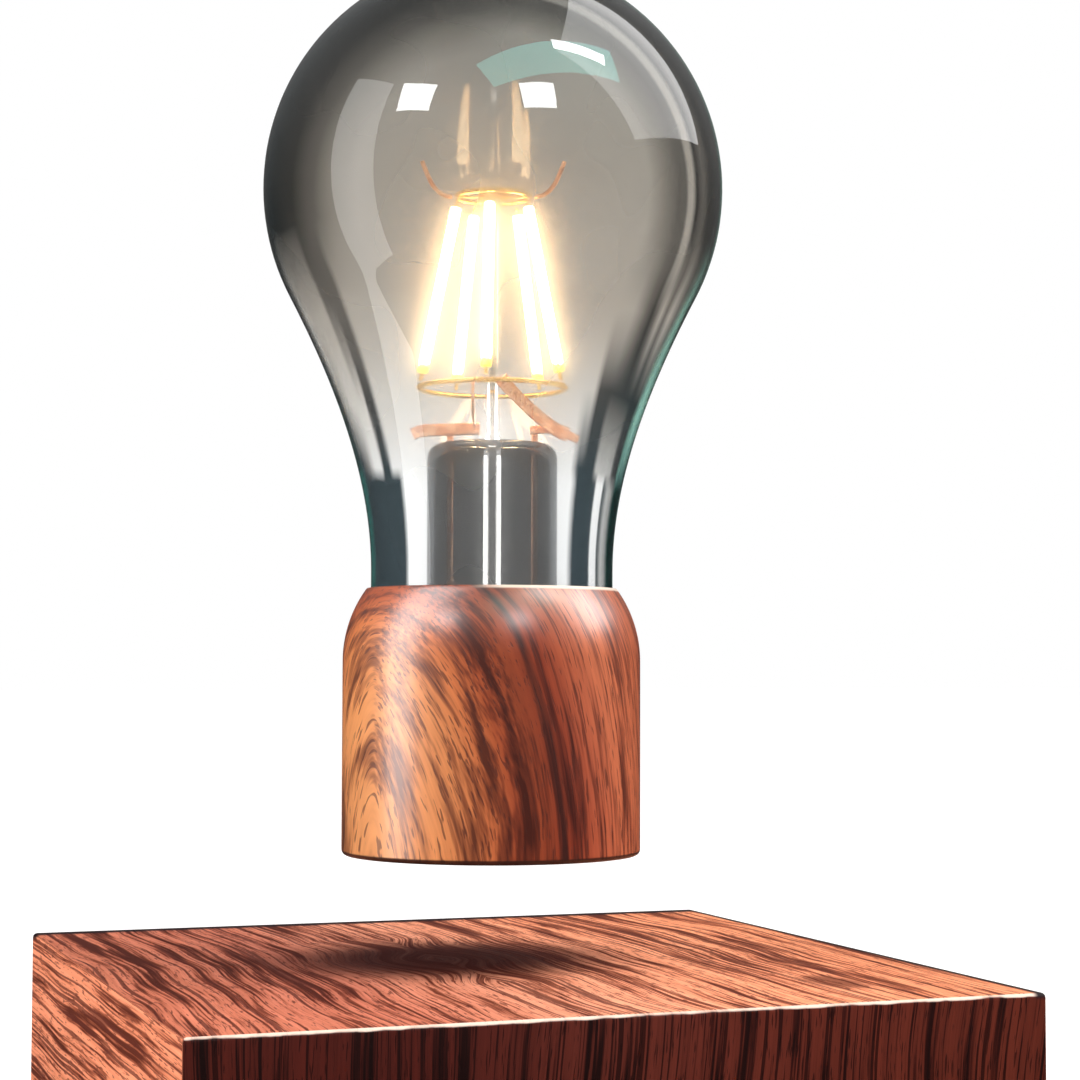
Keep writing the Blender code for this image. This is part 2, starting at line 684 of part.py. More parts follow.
def build_leads(materials, body):
    """Copper leads from the receiver board, up through the stem and out to the lower ring."""
    throat_height = stem_top + lead_rise
    exit_height = throat_height + lead_knee_height
    lead_end = ring_level - ring_wire_radius - wire_gap - lead_radius
    for number, side, angle, reach in ((1, -1, left_lead_angle, lead_offset),
                                       (2, 1, right_lead_angle, right_knee_reach)):
        foot = mount_point(side * lead_offset, 0, float_part_low)
        throat = mount_point(side * lead_offset, 0, throat_height)
        knee = mount_point(side * reach, 0, exit_height)
        across = ring_radius * math.cos(angle)
        depth = ring_radius * math.sin(angle)
        tip = mount_point(across, depth, lead_end)
        shelf = mount_point(across, depth, exit_height)
        climb = bezier(throat, knee, shelf, tip, 8)
        wire(f"lead_wire_{number}", [foot, throat] + climb[1:], lead_radius, materials["copper"], body)


def build_rings(materials, body):
    turned("lower_ring", wire_circle(ring_radius, ring_wire_radius, ring_level), turned_segments,
           materials["brass_wire"], body)
    hub = turned("hub_ring", wire_circle(hub_radius, hub_wire_radius, hub_level), small_segments,
                 materials["brass_wire"], body)
    spoke = box_outline(hub_radius, hub_wire_radius / 2)
    turn = Matrix.Rotation(mount_turn, 4, "Z")
    bar = tool("hub_spoke", prism_mesh(spoke, hub_level - hub_wire_radius / 2,
                                       hub_level + hub_wire_radius / 2), turn)
    join(hub, bar)
    collar = disc_profile(pillar_bore_radius + hub_collar_wall, hub_level - hub_collar_height / 2,
                          hub_level + hub_collar_height / 2)
    join(hub, tool("hub_collar", turned_mesh(collar, tiny_segments)))
    bore = disc_profile(pillar_bore_radius, hub_level - hub_collar_height, hub_level + hub_collar_height)
    cut(hub, tool("hub_bore", turned_mesh(bore, tiny_segments)))
    for number, side in enumerate((-1, 1), 1):
        start = hub_radius + hub_wire_radius + wire_gap
        reach = hub_radius + hook_reach
        points = bezier(mount_point(side * start, 0, hub_level),
                        mount_point(side * (start + hook_reach / 2), 0, hub_level),
                        mount_point(side * (reach - hook_reach / 5), 0, hub_level + hook_rise / 2),
                        mount_point(side * reach, 0, hub_level + hook_rise), 6)
        wire(f"anchor_hook_{number}", points, hook_wire_radius, materials["copper"], body)


def build_filaments(materials, body):
    """Glowing rods that lean from the lower ring in to the hub, with a bare pin at each end."""
    low = ring_level + ring_wire_radius + wire_gap
    high = hub_level - hub_wire_radius - wire_gap
    length = math.hypot(high - low, ring_radius - hub_radius)
    lean = math.atan2(ring_radius - hub_radius, high - low)
    body_low = filament_pin_length
    body_high = length - filament_pin_length
    profile = [(0, 0), (filament_pin_radius, 0), (filament_pin_radius, body_low),
               (filament_radius - filament_round, body_low),
               (filament_radius, body_low + filament_round),
               (filament_radius, body_high - filament_round),
               (filament_radius - filament_round, body_high),
               (filament_pin_radius, body_high), (filament_pin_radius, length), (0, length)]
    for number in range(filament_count):
        angle = mount_turn + first_filament_angle + number * math.tau / filament_count
        place = (Matrix.Rotation(angle, 4, "Z") @ Matrix.Translation((ring_radius, 0, low))
                 @ Matrix.Rotation(-lean, 4, "Y"))
        turned(f"filament_{number + 1}", profile, tiny_segments, materials["phosphor"], body, place=place)


def build_lamp():
    clear_scene()
    materials = finishes()
    base = axis_empty("base", None, 0)
    lift = axis_empty("float_lift", base, magnet_low)
    spin = axis_empty("float_spin", lift, 0)
    build_housing(materials, base)
    build_plate(materials, base)
    build_screws_and_feet(materials, base)
    build_board(materials, base)
    build_magnetics(materials, base)
    build_inlet(materials, base)
    build_cap(materials, spin)
    build_float_drive(materials, lift, spin)
    build_glass(materials, spin)
    build_leads(materials, spin)
    build_rings(materials, spin)
    build_filaments(materials, spin)


build_lamp()
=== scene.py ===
import json
from math import asin, atan2, cos, hypot, pi, radians, sin, tan, tau

import bpy
from mathutils import Matrix, Vector


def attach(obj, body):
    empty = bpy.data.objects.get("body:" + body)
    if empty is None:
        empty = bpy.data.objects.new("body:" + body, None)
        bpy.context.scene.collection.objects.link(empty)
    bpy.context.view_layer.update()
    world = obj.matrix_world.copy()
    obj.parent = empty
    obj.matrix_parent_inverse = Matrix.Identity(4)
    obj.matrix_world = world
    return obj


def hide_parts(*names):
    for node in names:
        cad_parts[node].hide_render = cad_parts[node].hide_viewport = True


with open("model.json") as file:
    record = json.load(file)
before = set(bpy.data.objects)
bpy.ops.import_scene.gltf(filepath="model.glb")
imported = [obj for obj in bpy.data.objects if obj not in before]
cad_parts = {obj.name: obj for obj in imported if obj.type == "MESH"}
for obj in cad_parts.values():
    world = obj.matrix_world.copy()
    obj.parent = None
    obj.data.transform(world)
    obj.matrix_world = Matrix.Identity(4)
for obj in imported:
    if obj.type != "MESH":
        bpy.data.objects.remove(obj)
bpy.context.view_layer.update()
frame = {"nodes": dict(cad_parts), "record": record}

# Floating bulb lamp: a wooden base block, and above it a turned wooden cap with a smoky filament bulb.
# Metres in the frame of the CAD model: the feet stand on z = 0 and the lamp's axis is x = y = 0.

mm = 0.001


def rgb(red, green, blue):  # sRGB 0-255 as a shader's linear colour
    steps = [c / 255 for c in (red, green, blue)]
    return tuple(c / 12.92 if c < 0.04045 else ((c + 0.055) / 1.055) ** 2.4 for c in steps) + (1.0,)


def lengths(shape):  # a piece's sizes, from mm to metres
    return {name: size * mm for name, size in shape.items()}


def inMetres(*points):
    return [tuple(c * mm for c in point) for point in points]


def several(shape, *names):
    return [shape[name] for name in names]


def moveBy(x, y, z):
    return Matrix.Translation((x, y, z))


def turnBy(angle, axis="Z"):
    return Matrix.Rotation(angle, 4, axis)


# Modelling tools

def deselectAll():
    if bpy.context.mode != "OBJECT":
        bpy.ops.object.mode_set(mode="OBJECT")
    bpy.ops.object.select_all(action="DESELECT")


def pickOnly(piece):
    deselectAll()
    piece.select_set(True)
    bpy.context.view_layer.objects.active = piece


def selectEdges(piece, test=lambda ends: True):  # test gets the places of an edge's two ends
    pickOnly(piece)
    bpy.ops.object.mode_set(mode="EDIT")
    bpy.ops.mesh.select_mode(type="EDGE")
    bpy.ops.mesh.select_all(action="DESELECT")
    bpy.ops.object.mode_set(mode="OBJECT")
    for edge in piece.data.edges:
        edge.select = test([piece.data.vertices[i].co for i in edge.vertices])
    bpy.ops.object.mode_set(mode="EDIT")


def bevelPicked(width, steps):
    bpy.ops.mesh.bevel(offset=width, segments=steps, affect="EDGES")
    bpy.ops.object.mode_set(mode="OBJECT")


def drawLine(name, points):  # one vertex, extruded from point to point
    deselectAll()
    bpy.ops.mesh.primitive_plane_add(size=mm)
    piece = bpy.context.object
    piece.name = piece.data.name = name
    bpy.ops.object.mode_set(mode="EDIT")
    bpy.ops.mesh.select_all(action="SELECT")
    bpy.ops.mesh.merge(type="CENTER")
    bpy.ops.mesh.select_mode(type="VERT")
    bpy.ops.mesh.select_all(action="SELECT")
    bpy.ops.transform.translate(value=points[0])
    for here, there in zip(points, points[1:]):
        step = [b - a for a, b in zip(here, there)]
        bpy.ops.mesh.extrude_region_move(TRANSFORM_OT_translate={"value": step})
    bpy.ops.mesh.select_all(action="SELECT")
    return piece


def cleanFaces():
    bpy.ops.mesh.select_all(action="SELECT")
    bpy.ops.mesh.remove_doubles(threshold=0.002 * mm)
    bpy.ops.mesh.normals_make_consistent(inside=False)
    bpy.ops.object.mode_set(mode="OBJECT")


def turnedPiece(name, profile, steps=96, centre=(0, 0)):  # profile: (radius, height) round and back
    piece = drawLine(name, [(centre[0] + r, centre[1], z) for r, z in profile])
    bpy.ops.mesh.spin(steps=steps, angle=tau, center=(*centre, 0), axis=(0, 0, 1))
    cleanFaces()
    return piece


def sweptPiece(name, points, **curve):  # a closed tube or strip along the points
    drawLine(name, points)
    bpy.ops.object.mode_set(mode="OBJECT")
    bpy.ops.object.convert(target="CURVE")
    line = bpy.context.object.data
    for key, value in curve.items():
        setattr(line, key, value)
    line.use_fill_caps = True
    bpy.ops.object.convert(target="MESH")
    bpy.ops.object.mode_set(mode="EDIT")
    cleanFaces()
    return bpy.context.object


def wirePiece(name, points, radius, sides=3):
    return sweptPiece(name, points, bevel_depth=radius, bevel_resolution=sides)


def ribbonPiece(name, points, halfWidth, thickness):  # a flat strip that stands on edge
    return sweptPiece(name, points, twist_mode="Z_UP", extrude=halfWidth - thickness, bevel_depth=thickness,
                      bevel_resolution=2)


def weighted(weights, points):
    return tuple(sum(w * p[i] for w, p in zip(weights, points)) for i in range(len(points[0])))


def smoothed(points, steps):  # a smooth line through the points
    ends = [points[0]] + list(points) + [points[-1]]
    line = [points[0]]
    for four in zip(ends, ends[1:], ends[2:], ends[3:]):
        for k in range(1, steps + 1):
            t = k / steps
            line.append(weighted((-0.5 * t + t * t - 0.5 * t ** 3, 1 - 2.5 * t * t + 1.5 * t ** 3,
                                  0.5 * t + 2 * t * t - 1.5 * t ** 3, -0.5 * t * t + 0.5 * t ** 3), four))
    return line


def bezierPoints(*four, steps):
    shares = [k / steps for k in range(steps + 1)]
    return [weighted(((1 - t) ** 3, 3 * t * (1 - t) ** 2, 3 * t * t * (1 - t), t ** 3), four)
            for t in shares]


def arcPoints(centre, radius, start, end, steps):  # in the (radius, height) plane, angles in radians
    angles = [start + (end - start) * k / steps for k in range(steps + 1)]
    return [(centre[0] + radius * cos(a), centre[1] + radius * sin(a)) for a in angles]


def placeInMesh(piece):
    pickOnly(piece)
    bpy.ops.object.transform_apply(location=True, rotation=True, scale=True)
    return piece


def boxPiece(name, low, high):  # from corner to corner
    deselectAll()
    bpy.ops.mesh.primitive_cube_add(size=1, location=[(a + b) / 2 for a, b in zip(low, high)])
    piece = bpy.context.object
    piece.name = piece.data.name = name
    piece.scale = [b - a for a, b in zip(low, high)]
    return placeInMesh(piece)


def rodCutter(radius, length, centre, sides=64, tilt=pi / 2):  # along Y, or upright with no tilt
    deselectAll()
    bpy.ops.mesh.primitive_cylinder_add(radius=radius, depth=length, vertices=sides, rotation=(tilt, 0, 0),
                                        location=centre)
    return placeInMesh(bpy.context.object)


def cutAway(piece, *cutters):
    for cutter in cutters:
        pickOnly(piece)
        cut = piece.modifiers.new("cut", "BOOLEAN")
        cut.object, cut.operation, cut.solver = cutter, "DIFFERENCE", "EXACT"
        bpy.ops.object.modifier_apply(modifier=cut.name)
        bpy.data.objects.remove(cutter)


def joinPieces(name, *pieces):
    deselectAll()
    for piece in pieces:
        piece.select_set(True)
    bpy.context.view_layer.objects.active = pieces[0]
    bpy.ops.object.join()
    pieces[0].name = pieces[0].data.name = name
    return pieces[0]


def copyOf(piece, name, matrix):
    copy = piece.copy()
    copy.data = piece.data.copy()
    copy.name = copy.data.name = name
    copy.data.transform(matrix)
    bpy.context.collection.objects.link(copy)
    return copy


def dress(piece, finish, body, slot, *nodes, smooth=35):
    pickOnly(piece)
    bpy.ops.object.shade_smooth_by_angle(angle=radians(smooth))
    if not piece.data.materials:
        piece.data.materials.append(finish)
    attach(piece, body)
    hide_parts(*nodes)
    return piece


# Shader tools

class Nodes:  # makes the shader nodes of one material or world
    def __init__(self, owner):
        owner.use_nodes = True
        self.owner = owner
        self.tree = owner.node_tree

    def connect(self, value, socket):
        if isinstance(value, bpy.types.NodeSocket):
            self.tree.links.new(value, socket)
        elif value is not None:
            socket.default_value = value

    def fill(self, node, inputs):
        for key, value in inputs.items():
            self.connect(value, node.inputs[key])

    def add(self, kind, inputs=None, **settings):
        made = self.tree.nodes.new("ShaderNode" + kind)
        for key, value in settings.items():
            setattr(made, key, value)
        self.fill(made, inputs or {})
        return made

    def value(self, kind, inputs=None, output=0, **settings):  # one output of a new node
        return self.add(kind, inputs, **settings).outputs[output]

    def maths(self, operation, a, b=None, c=None):
        return self.value("Math", {0: a, 1: b, 2: c}, operation=operation)

    def times(self, a, b):
        return self.maths("MULTIPLY", a, b)

    def timesPlus(self, a, b, c):  # a * b + c
        return self.maths("MULTIPLY_ADD", a, b, c)

    def minus(self, a, b):
        return self.maths("SUBTRACT", a, b)

    def over(self, a, b):
        return self.maths("DIVIDE", a, b)

    def larger(self, a, b):
        return self.maths("MAXIMUM", a, b)

    def absolute(self, a):
        return self.maths("ABSOLUTE", a)

    def ease(self, value, low, high, fromValue=0.0, toValue=1.0, kind="SMOOTHSTEP"):
        inputs = {"Value": value, "From Min": low, "From Max": high, "To Min": fromValue, "To Max": toValue}
        return self.value("MapRange", inputs, interpolation_type=kind)

    def blend(self, factor, a, b, kind="MIX"):
        return self.value("Mix", {0: factor, 6: a, 7: b}, 2, data_type="RGBA", blend_type=kind)

    def tinted(self, colour, tint):
        return self.blend(1.0, colour, tint, "MULTIPLY")

    def noise(self, vector, scale, detail=3.0, roughness=0.5):
        inputs = {"Vector": vector, "Scale": scale, "Detail": detail, "Roughness": roughness}
        return self.value("TexNoise", inputs, "Fac")

    def ramp(self, factor, stops):
        made = self.add("ValToRGB", {0: factor})
        band = made.color_ramp
        while len(band.elements) < len(stops):
            band.elements.new(0.5)
        for element, (place, colour) in zip(band.elements, stops):
            element.position = place
            element.color = colour
        return made.outputs[0]

    def apart(self, vector):  # its x, y and z
        return self.add("SeparateXYZ", {0: vector}).outputs

    def together(self, x, y, z):
        return self.value("CombineXYZ", {0: x, 1: y, 2: z})

    def inMillimetres(self, turn=(0, 0, 0)):  # Object coordinates, turned
        place = self.value("TexCoord", output="Object")
        return self.value("Mapping", {"Vector": place, "Rotation": turn, "Scale": (1000, 1000, 1000)})

    def facing(self):  # 0 where the surface looks at the eye, 1 at its outline
        return self.value("LayerWeight", {"Blend": 0.5}, "Facing")

    def bump(self, shader, height, depth, strength=1.0):  # depth in metres
        made = self.value("Bump", {"Height": height, "Distance": depth, "Strength": strength})
        self.connect(made, shader.inputs["Normal"])

    def mixShaders(self, share, a, b):
        return self.value("MixShader", {0: share, 1: a, 2: b})

    def output(self, surface):
        out = next(n for n in self.tree.nodes if n.type == "OUTPUT_MATERIAL")
        self.connect(surface, out.inputs["Surface"])


def newMaterial(name):
    nodes = Nodes(bpy.data.materials.new(name))
    return nodes, nodes.tree.nodes["Principled BSDF"]


print("tools ready")

# Wood

grainShape = {   # of both woods: widths and lengths in mm
    "poreWidth": 0.26, "poreLength": 3.4, "poreDarkness": 0.7, "patchWidth": 7.0,
    "lineShare": 0.40, "bandShare": 0.62, "patchShare": 0.22,     # shares in the wood's light and dark
    "archSkew": 0.35, "archAcross": 1.2, "archWidth": 1.7,        # lines that follow the arches
    "poreEdge": (0.59, 0.66), "veinEdge": (0.575, 0.615),         # levels of the noise where they begin
}

capWoodLook = {
    "apexAzimuth": -159.0,     # side of the cap on which the arches of the grain have their tops, degrees
    "flare": (0.09, 0.0045), "flareLow": 41.0,   # how the growth rings lean, more and more from there up
    "wander": 3.2, "wanderLength": 24,           # mm that the rings sway, and over which length
    "archRound": 3.0, "archFlare": 2.2, "flatSide": (6.0, 13.0),
    "bandWidth": 1.5, "lineWidth": 0.42, "alongGrain": 20.0,
    # colour along the line from the far side of the cap (low numbers) to the arches (high numbers), in mm
    "zones": [(-20, rgb(184, 91, 56)), (-6, rgb(200, 108, 68)), (-1.5, rgb(178, 86, 52)),
              (2.0, rgb(147, 56, 26)), (6.0, rgb(151, 65, 30)), (9.5, rgb(178, 82, 38)),
              (12.0, rgb(212, 118, 62)), (14.5, rgb(228, 144, 82)), (19.0, rgb(240, 162, 98))],
    "grainTones": [(0.37, (0.20, 0.13, 0.11, 1)), (0.455, (0.52, 0.43, 0.39, 1)),
                   (0.53, (0.98, 0.96, 0.94, 1)), (0.67, (1.16, 1.2, 1.22, 1))],
    "dashes": (9.0, 4.5, 0.05),   # more short dark lines: middle, reach, how many more
    "streak": rgb(52, 20, 18), "streakPlace": 3.7, "streakEdge": (0.9, 0.1), "streakDarkness": 0.85,
    "pore": rgb(84, 34, 22), "poreDepth": 0.04 * mm,
    # painted shade along the rounded foot
    "foot": rgb(32, 8, 6), "footShadeEdge": (40.85, 40.6),
    # a painted highlight along the top edge of the rim
    "paintedRimHighlight": rgb(255, 226, 206), "rimEdge": (73.9, 74.2), "rimSide": (13.0, 9.0),
    "roughness": (0.5, 0.36),
    "gloss": {"Specular IOR Level": 0.1, "Coat Weight": 0.85, "Coat Roughness": 0.3, "Coat IOR": 1.5},
}

baseWoodLook = {
    "lean": -6.0, "sideLean": 1.1,     # the growth rings' lean in degrees, and its slope on the sides
    "wander": 6.8, "wanderLength": 36, "sideWander": 0.3,
    "bandWidth": 1.8, "lineWidth": 0.42, "alongGrain": 40.0,
    # colour from the left side of the block to the right, in mm
    "zones": [(-51, rgb(206, 120, 92)), (-25, rgb(198, 114, 90)), (-5, rgb(232, 152, 120)),
              (20, rgb(246, 156, 116)), (51, rgb(238, 150, 108))],
    "grainTones": [(0.40, (0.14, 0.08, 0.07, 1)), (0.465, (0.42, 0.31, 0.28, 1)),
                   (0.505, (0.90, 0.86, 0.83, 1)), (0.64, (1.16, 1.2, 1.22, 1))],
    "front": (0.13, 0.055, 0.055, 1),     # the end grain soaks up more stain, and is darkened further as painted shade
    # the left side painted lighter, as if lit from the left; the right side a little darker
    "paintedLitLeftSide": (1.6, 1.74, 1.6, 1), "rightSide": (0.86, 0.8, 0.74, 1),
    "veins": (0.5, 60.0, 0.8),            # long thin dark lines: width, length, strength
    "knotsAndShadow": (((-6.0, 3.0), (23.0, 20.0), 0.95),   # centre, half size, darkness: first a painted shadow under the floating bulb, round which the grain bends as round a knot, then a real dark knot
              ((32.0, -34.0), (3.4, 7.0), 0.72)),
    "knotReach": 1.3, "knotCore": 0.45, "knotPull": 0.45, "knotCurl": 0.85, "knotAndShadowColour": rgb(76, 17, 6),
    "recess": ((42, 43), (22, 21), (8, 7.5)),      # where the inlet's recess begins: back, up, across
    "pore": rgb(88, 36, 28), "poreDepth": 0.05 * mm,
    # a painted highlight along the front edge, and a dark band along the right and back edges of the top
    "paintedEdgeHighlight": rgb(252, 220, 202), "frontEdge": (76.98, 77.06), "frontTop": (26.1, 26.3),
    "edgeDark": rgb(38, 20, 24), "rightEdge": (49.0, 49.9), "backEdge": (46.2, 48.6),
    "darkBandTop": (25.6, 26.2), "edgeWobbleSize": 4.0, "edgeWobbleDepth": 0.5, "backWobble": 4.0,
    "roughness": (0.6, 0.42),
    "gloss": {"Specular IOR Level": 0.06, "Coat Weight": 0.04, "Coat Roughness": 0.35, "Coat IOR": 1.5},
}


def stretched(nodes, axes, across, length, detail, roughness=0.5):  # noise, long along the growth rings
    place = nodes.together(*(nodes.over(axis, size) for axis, size in zip(axes, (across, length, length))))
    return nodes.noise(place, 1.0, detail, roughness)


def zoneColour(nodes, value, zones):
    low, high = zones[0][0], zones[-1][0]
    stops = [((place - low) / (high - low), colour) for place, colour in zones]
    return nodes.ramp(nodes.ease(value, low, high, kind="LINEAR"), stops)


def fineGrain(nodes, axes, across, length, detail, flat):
    value = stretched(nodes, axes, across, length, detail, 0.6)
    if flat:  # where the surface lies along the rings, the lines follow the arches
        arch, share = flat
        ring, along, up = axes
        skew, narrow, wide = several(grainShape, "archSkew", "archAcross", "archWidth")
        skewed = nodes.timesPlus(along, skew, nodes.over(ring, across * narrow))
        place = nodes.together(skewed, nodes.over(arch, across * wide), nodes.over(up, length))
        arched = nodes.noise(place, 1.0, detail, 0.6)
        value = nodes.timesPlus(share, nodes.minus(arched, value), value)
    return value


def woodGrain(nodes, axes, zonePlace, look, flat=None):  # axes: across the rings, along the grain, up
    length = look["alongGrain"]
    bands = stretched(nodes, axes, look["bandWidth"], length, 3.0, 0.55)
    lines = fineGrain(nodes, axes, look["lineWidth"], length * 0.7, 2.0, flat)
    pores = fineGrain(nodes, axes, grainShape["poreWidth"], grainShape["poreLength"], 1.0, flat)
    patches = stretched(nodes, axes, grainShape["patchWidth"], length * 0.9, 2.0)
    mixed = nodes.timesPlus(lines, grainShape["lineShare"], nodes.times(bands, grainShape["bandShare"]))
    mixed = nodes.timesPlus(nodes.minus(patches, 0.5), grainShape["patchShare"], mixed)
    if "dashes" in look:
        middle, reach, more = look["dashes"]
        off = nodes.absolute(nodes.minus(axes[0], middle))
        mixed = nodes.minus(mixed, nodes.ease(off, reach, reach / 3, 0.0, more))
    tone = nodes.ramp(mixed, look["grainTones"])
    colour = nodes.tinted(zoneColour(nodes, zonePlace, look["zones"]), tone)
    if "veins" in look:
        across, longer, strength = look["veins"]
        veins = stretched(nodes, axes, across, longer, 1.0)
        veins = nodes.ease(veins, *grainShape["veinEdge"], 0.0, strength)
        colour = nodes.blend(veins, colour, look["pore"])
    openPores = nodes.ease(pores, *grainShape["poreEdge"])
    colour = nodes.blend(nodes.times(openPores, grainShape["poreDarkness"]), colour, look["pore"])
    height = nodes.timesPlus(openPores, -1.0, nodes.times(lines, 0.5))
    return colour, height, mixed


def finishWood(nodes, shader, colour, height, mixed, look):
    roughness = nodes.ease(mixed, 0.35, 0.7, *look["roughness"])
    nodes.fill(shader, {"Base Color": colour, "Roughness": roughness, **look["gloss"]})
    nodes.bump(shader, height, look["poreDepth"], 0.8)
    return nodes.owner


def capWood(look):
    nodes, shader = newMaterial("capWood")
    place = nodes.inMillimetres((0, 0, -radians(look["apexAzimuth"])))
    toArches, along, z = nodes.apart(place)
    rise = nodes.minus(z, look["flareLow"])
    straight, curved = look["flare"]
    flare = nodes.times(rise, nodes.timesPlus(rise, curved, straight))
    sway = nodes.minus(nodes.noise(place, 1 / look["wanderLength"], 1.0), 0.5)
    ring = nodes.timesPlus(sway, look["wander"], nodes.minus(toArches, flare))
    arch = nodes.maths("SQRT", nodes.timesPlus(along, along, look["archRound"]))
    arch = nodes.timesPlus(flare, look["archFlare"], arch)
    flat = (arch, nodes.ease(toArches, *look["flatSide"]))
    colour, height, mixed = woodGrain(nodes, (ring, along, z), ring, look, flat)
    streak = nodes.absolute(nodes.minus(ring, look["streakPlace"]))   # runs down past the front
    streak = nodes.times(nodes.ease(streak, *look["streakEdge"]), nodes.ease(mixed, 0.8, 0.45, 0.35, 1.0))
    colour = nodes.blend(nodes.times(streak, look["streakDarkness"]), colour, look["streak"])
    # painted shade: the rounded foot darkened almost to black
    colour = nodes.blend(nodes.ease(z, *look["footShadeEdge"], 0.0, 0.95), colour, look["foot"])
    # painted highlight: the rim's top edge made pale on the side away from the arches
    rim = nodes.times(nodes.ease(z, *look["rimEdge"]), nodes.ease(toArches, *look["rimSide"]))
    colour = nodes.blend(rim, colour, look["paintedRimHighlight"])
    return finishWood(nodes, shader, colour, height, mixed, look)


def bendRound(nodes, ring, x, y, knot, look):  # the rings bend round a knot, which is darkened inside; under the bulb this darkening is a painted shadow
    (centreX, centreY), (halfX, halfY), darkness = knot
    offX = nodes.over(nodes.minus(x, centreX), halfX)
    offY = nodes.over(nodes.minus(y, centreY), halfY)
    away = nodes.maths("SQRT", nodes.maths("ADD", nodes.times(offX, offX), nodes.times(offY, offY)))
    pull = nodes.ease(away, look["knotReach"], 0.2, 0.0, look["knotPull"])
    side = nodes.maths("SIGN", nodes.minus(x, centreX))
    bent = nodes.timesPlus(nodes.times(away, side), halfX * look["knotCurl"], centreX)
    ring = nodes.maths("ADD", ring, nodes.times(pull, nodes.minus(bent, x)))
    return ring, nodes.ease(away, look["knotReach"], look["knotCore"], 0.0, darkness)


def baseWood(look):
    nodes, shader = newMaterial("baseWood")
    place = nodes.inMillimetres()
    x, y, z = nodes.apart(place)
    normalX, normalY, normalZ = nodes.apart(nodes.value("TexCoord", output="Normal"))
    onSide = nodes.ease(nodes.absolute(normalX), 0.5, 0.8)
    sway = nodes.times(nodes.noise(place, 1 / look["wanderLength"], 1.0),
                       nodes.ease(onSide, 0.0, 1.0, 1.0, look["sideWander"]))
    ring = nodes.timesPlus(z, tan(radians(look["lean"])), x)
    ring = nodes.timesPlus(sway, look["wander"], ring)
    shade = 0.0
    for knot in look["knotsAndShadow"]:
        ring, dark = bendRound(nodes, ring, x, y, knot, look)
        shade = nodes.larger(shade, dark)
    ring = nodes.timesPlus(nodes.times(z, onSide), look["sideLean"], ring)
    colour, height, mixed = woodGrain(nodes, (ring, y, z), x, look)
    # the knots' dark on the top; the spot under the bulb is a painted shadow
    colour = nodes.blend(nodes.times(shade, nodes.ease(normalZ, 0.5, 0.8)), colour, look["knotAndShadowColour"])
    # darker end grain in front and at the back, with painted shade on top of it, and the same dark tone in
    # the recess of the inlet; the left side is painted lighter as if lit, and the right side a little darker
    onEnd = nodes.ease(nodes.absolute(normalY), 0.5, 0.8)
    back, up, across = look["recess"]
    inRecess = nodes.times(nodes.times(nodes.ease(y, *back), nodes.ease(z, *up)),
                           nodes.ease(nodes.absolute(x), *across))
    for share, tone in ((nodes.larger(onEnd, inRecess), look["front"]),
                        (nodes.ease(normalX, -0.5, -0.8), look["paintedLitLeftSide"]),
                        (nodes.ease(normalX, 0.5, 0.8), look["rightSide"])):
        colour = nodes.blend(share, colour, nodes.tinted(colour, tone))
    # noise that makes the edge marks below uneven along their length
    edgeWobble = nodes.minus(nodes.noise(place, 1 / look["edgeWobbleSize"], 3.0), 0.5)
    edgeWobble = nodes.times(edgeWobble, look["edgeWobbleDepth"])
    wobbledZ, wobbledX = nodes.maths("ADD", z, edgeWobble), nodes.maths("ADD", x, edgeWobble)
    # painted highlight: a pale line along the front top edge
    edgeHighlight = nodes.times(nodes.ease(nodes.minus(z, y), *look["frontEdge"]),
                       nodes.ease(wobbledZ, *look["frontTop"]))
    colour = nodes.blend(nodes.times(edgeHighlight, nodes.ease(edgeWobble, -0.12, 0.04, 0.5, 1.0)), colour, look["paintedEdgeHighlight"])
    # the top is darker in a band along its right and back edges
    darkBand = nodes.larger(nodes.ease(wobbledX, *look["rightEdge"]),
                         nodes.ease(nodes.timesPlus(edgeWobble, look["backWobble"], y), *look["backEdge"]))
    colour = nodes.blend(nodes.times(darkBand, nodes.ease(z, *look["darkBandTop"])), colour, look["edgeDark"])
    return finishWood(nodes, shader, colour, height, mixed, look)


baseBlock = lengths({
    "half": 51.0, "low": 1.5, "top": 26.5, "edge": 0.6,
    "rebateHalf": 46.0, "rebateTop": 4.1, "rebateCorner": 3.0,
    "cavityHalf": 43.0, "cavityTop": 23.5, "cavityCorner": 14.0,
    "inletHeight": 13.5, "recessRadius": 6.5, "recessFace": 45.7, "noseHole": 5.3,
    "screwPlace": 41.45, "pilotRadius": 1.6, "pilotTop": 11.1,
})


def roundedBox(name, half, low, high, corner, steps):  # a box with its four upright edges rounded
    box = boxPiece(name, (-half, -half, low), (half, half, high))
    selectEdges(box, lambda ends: abs(ends[0].z - ends[1].z) > (high - low) / 2)
    bevelPicked(corner, steps)
    return box


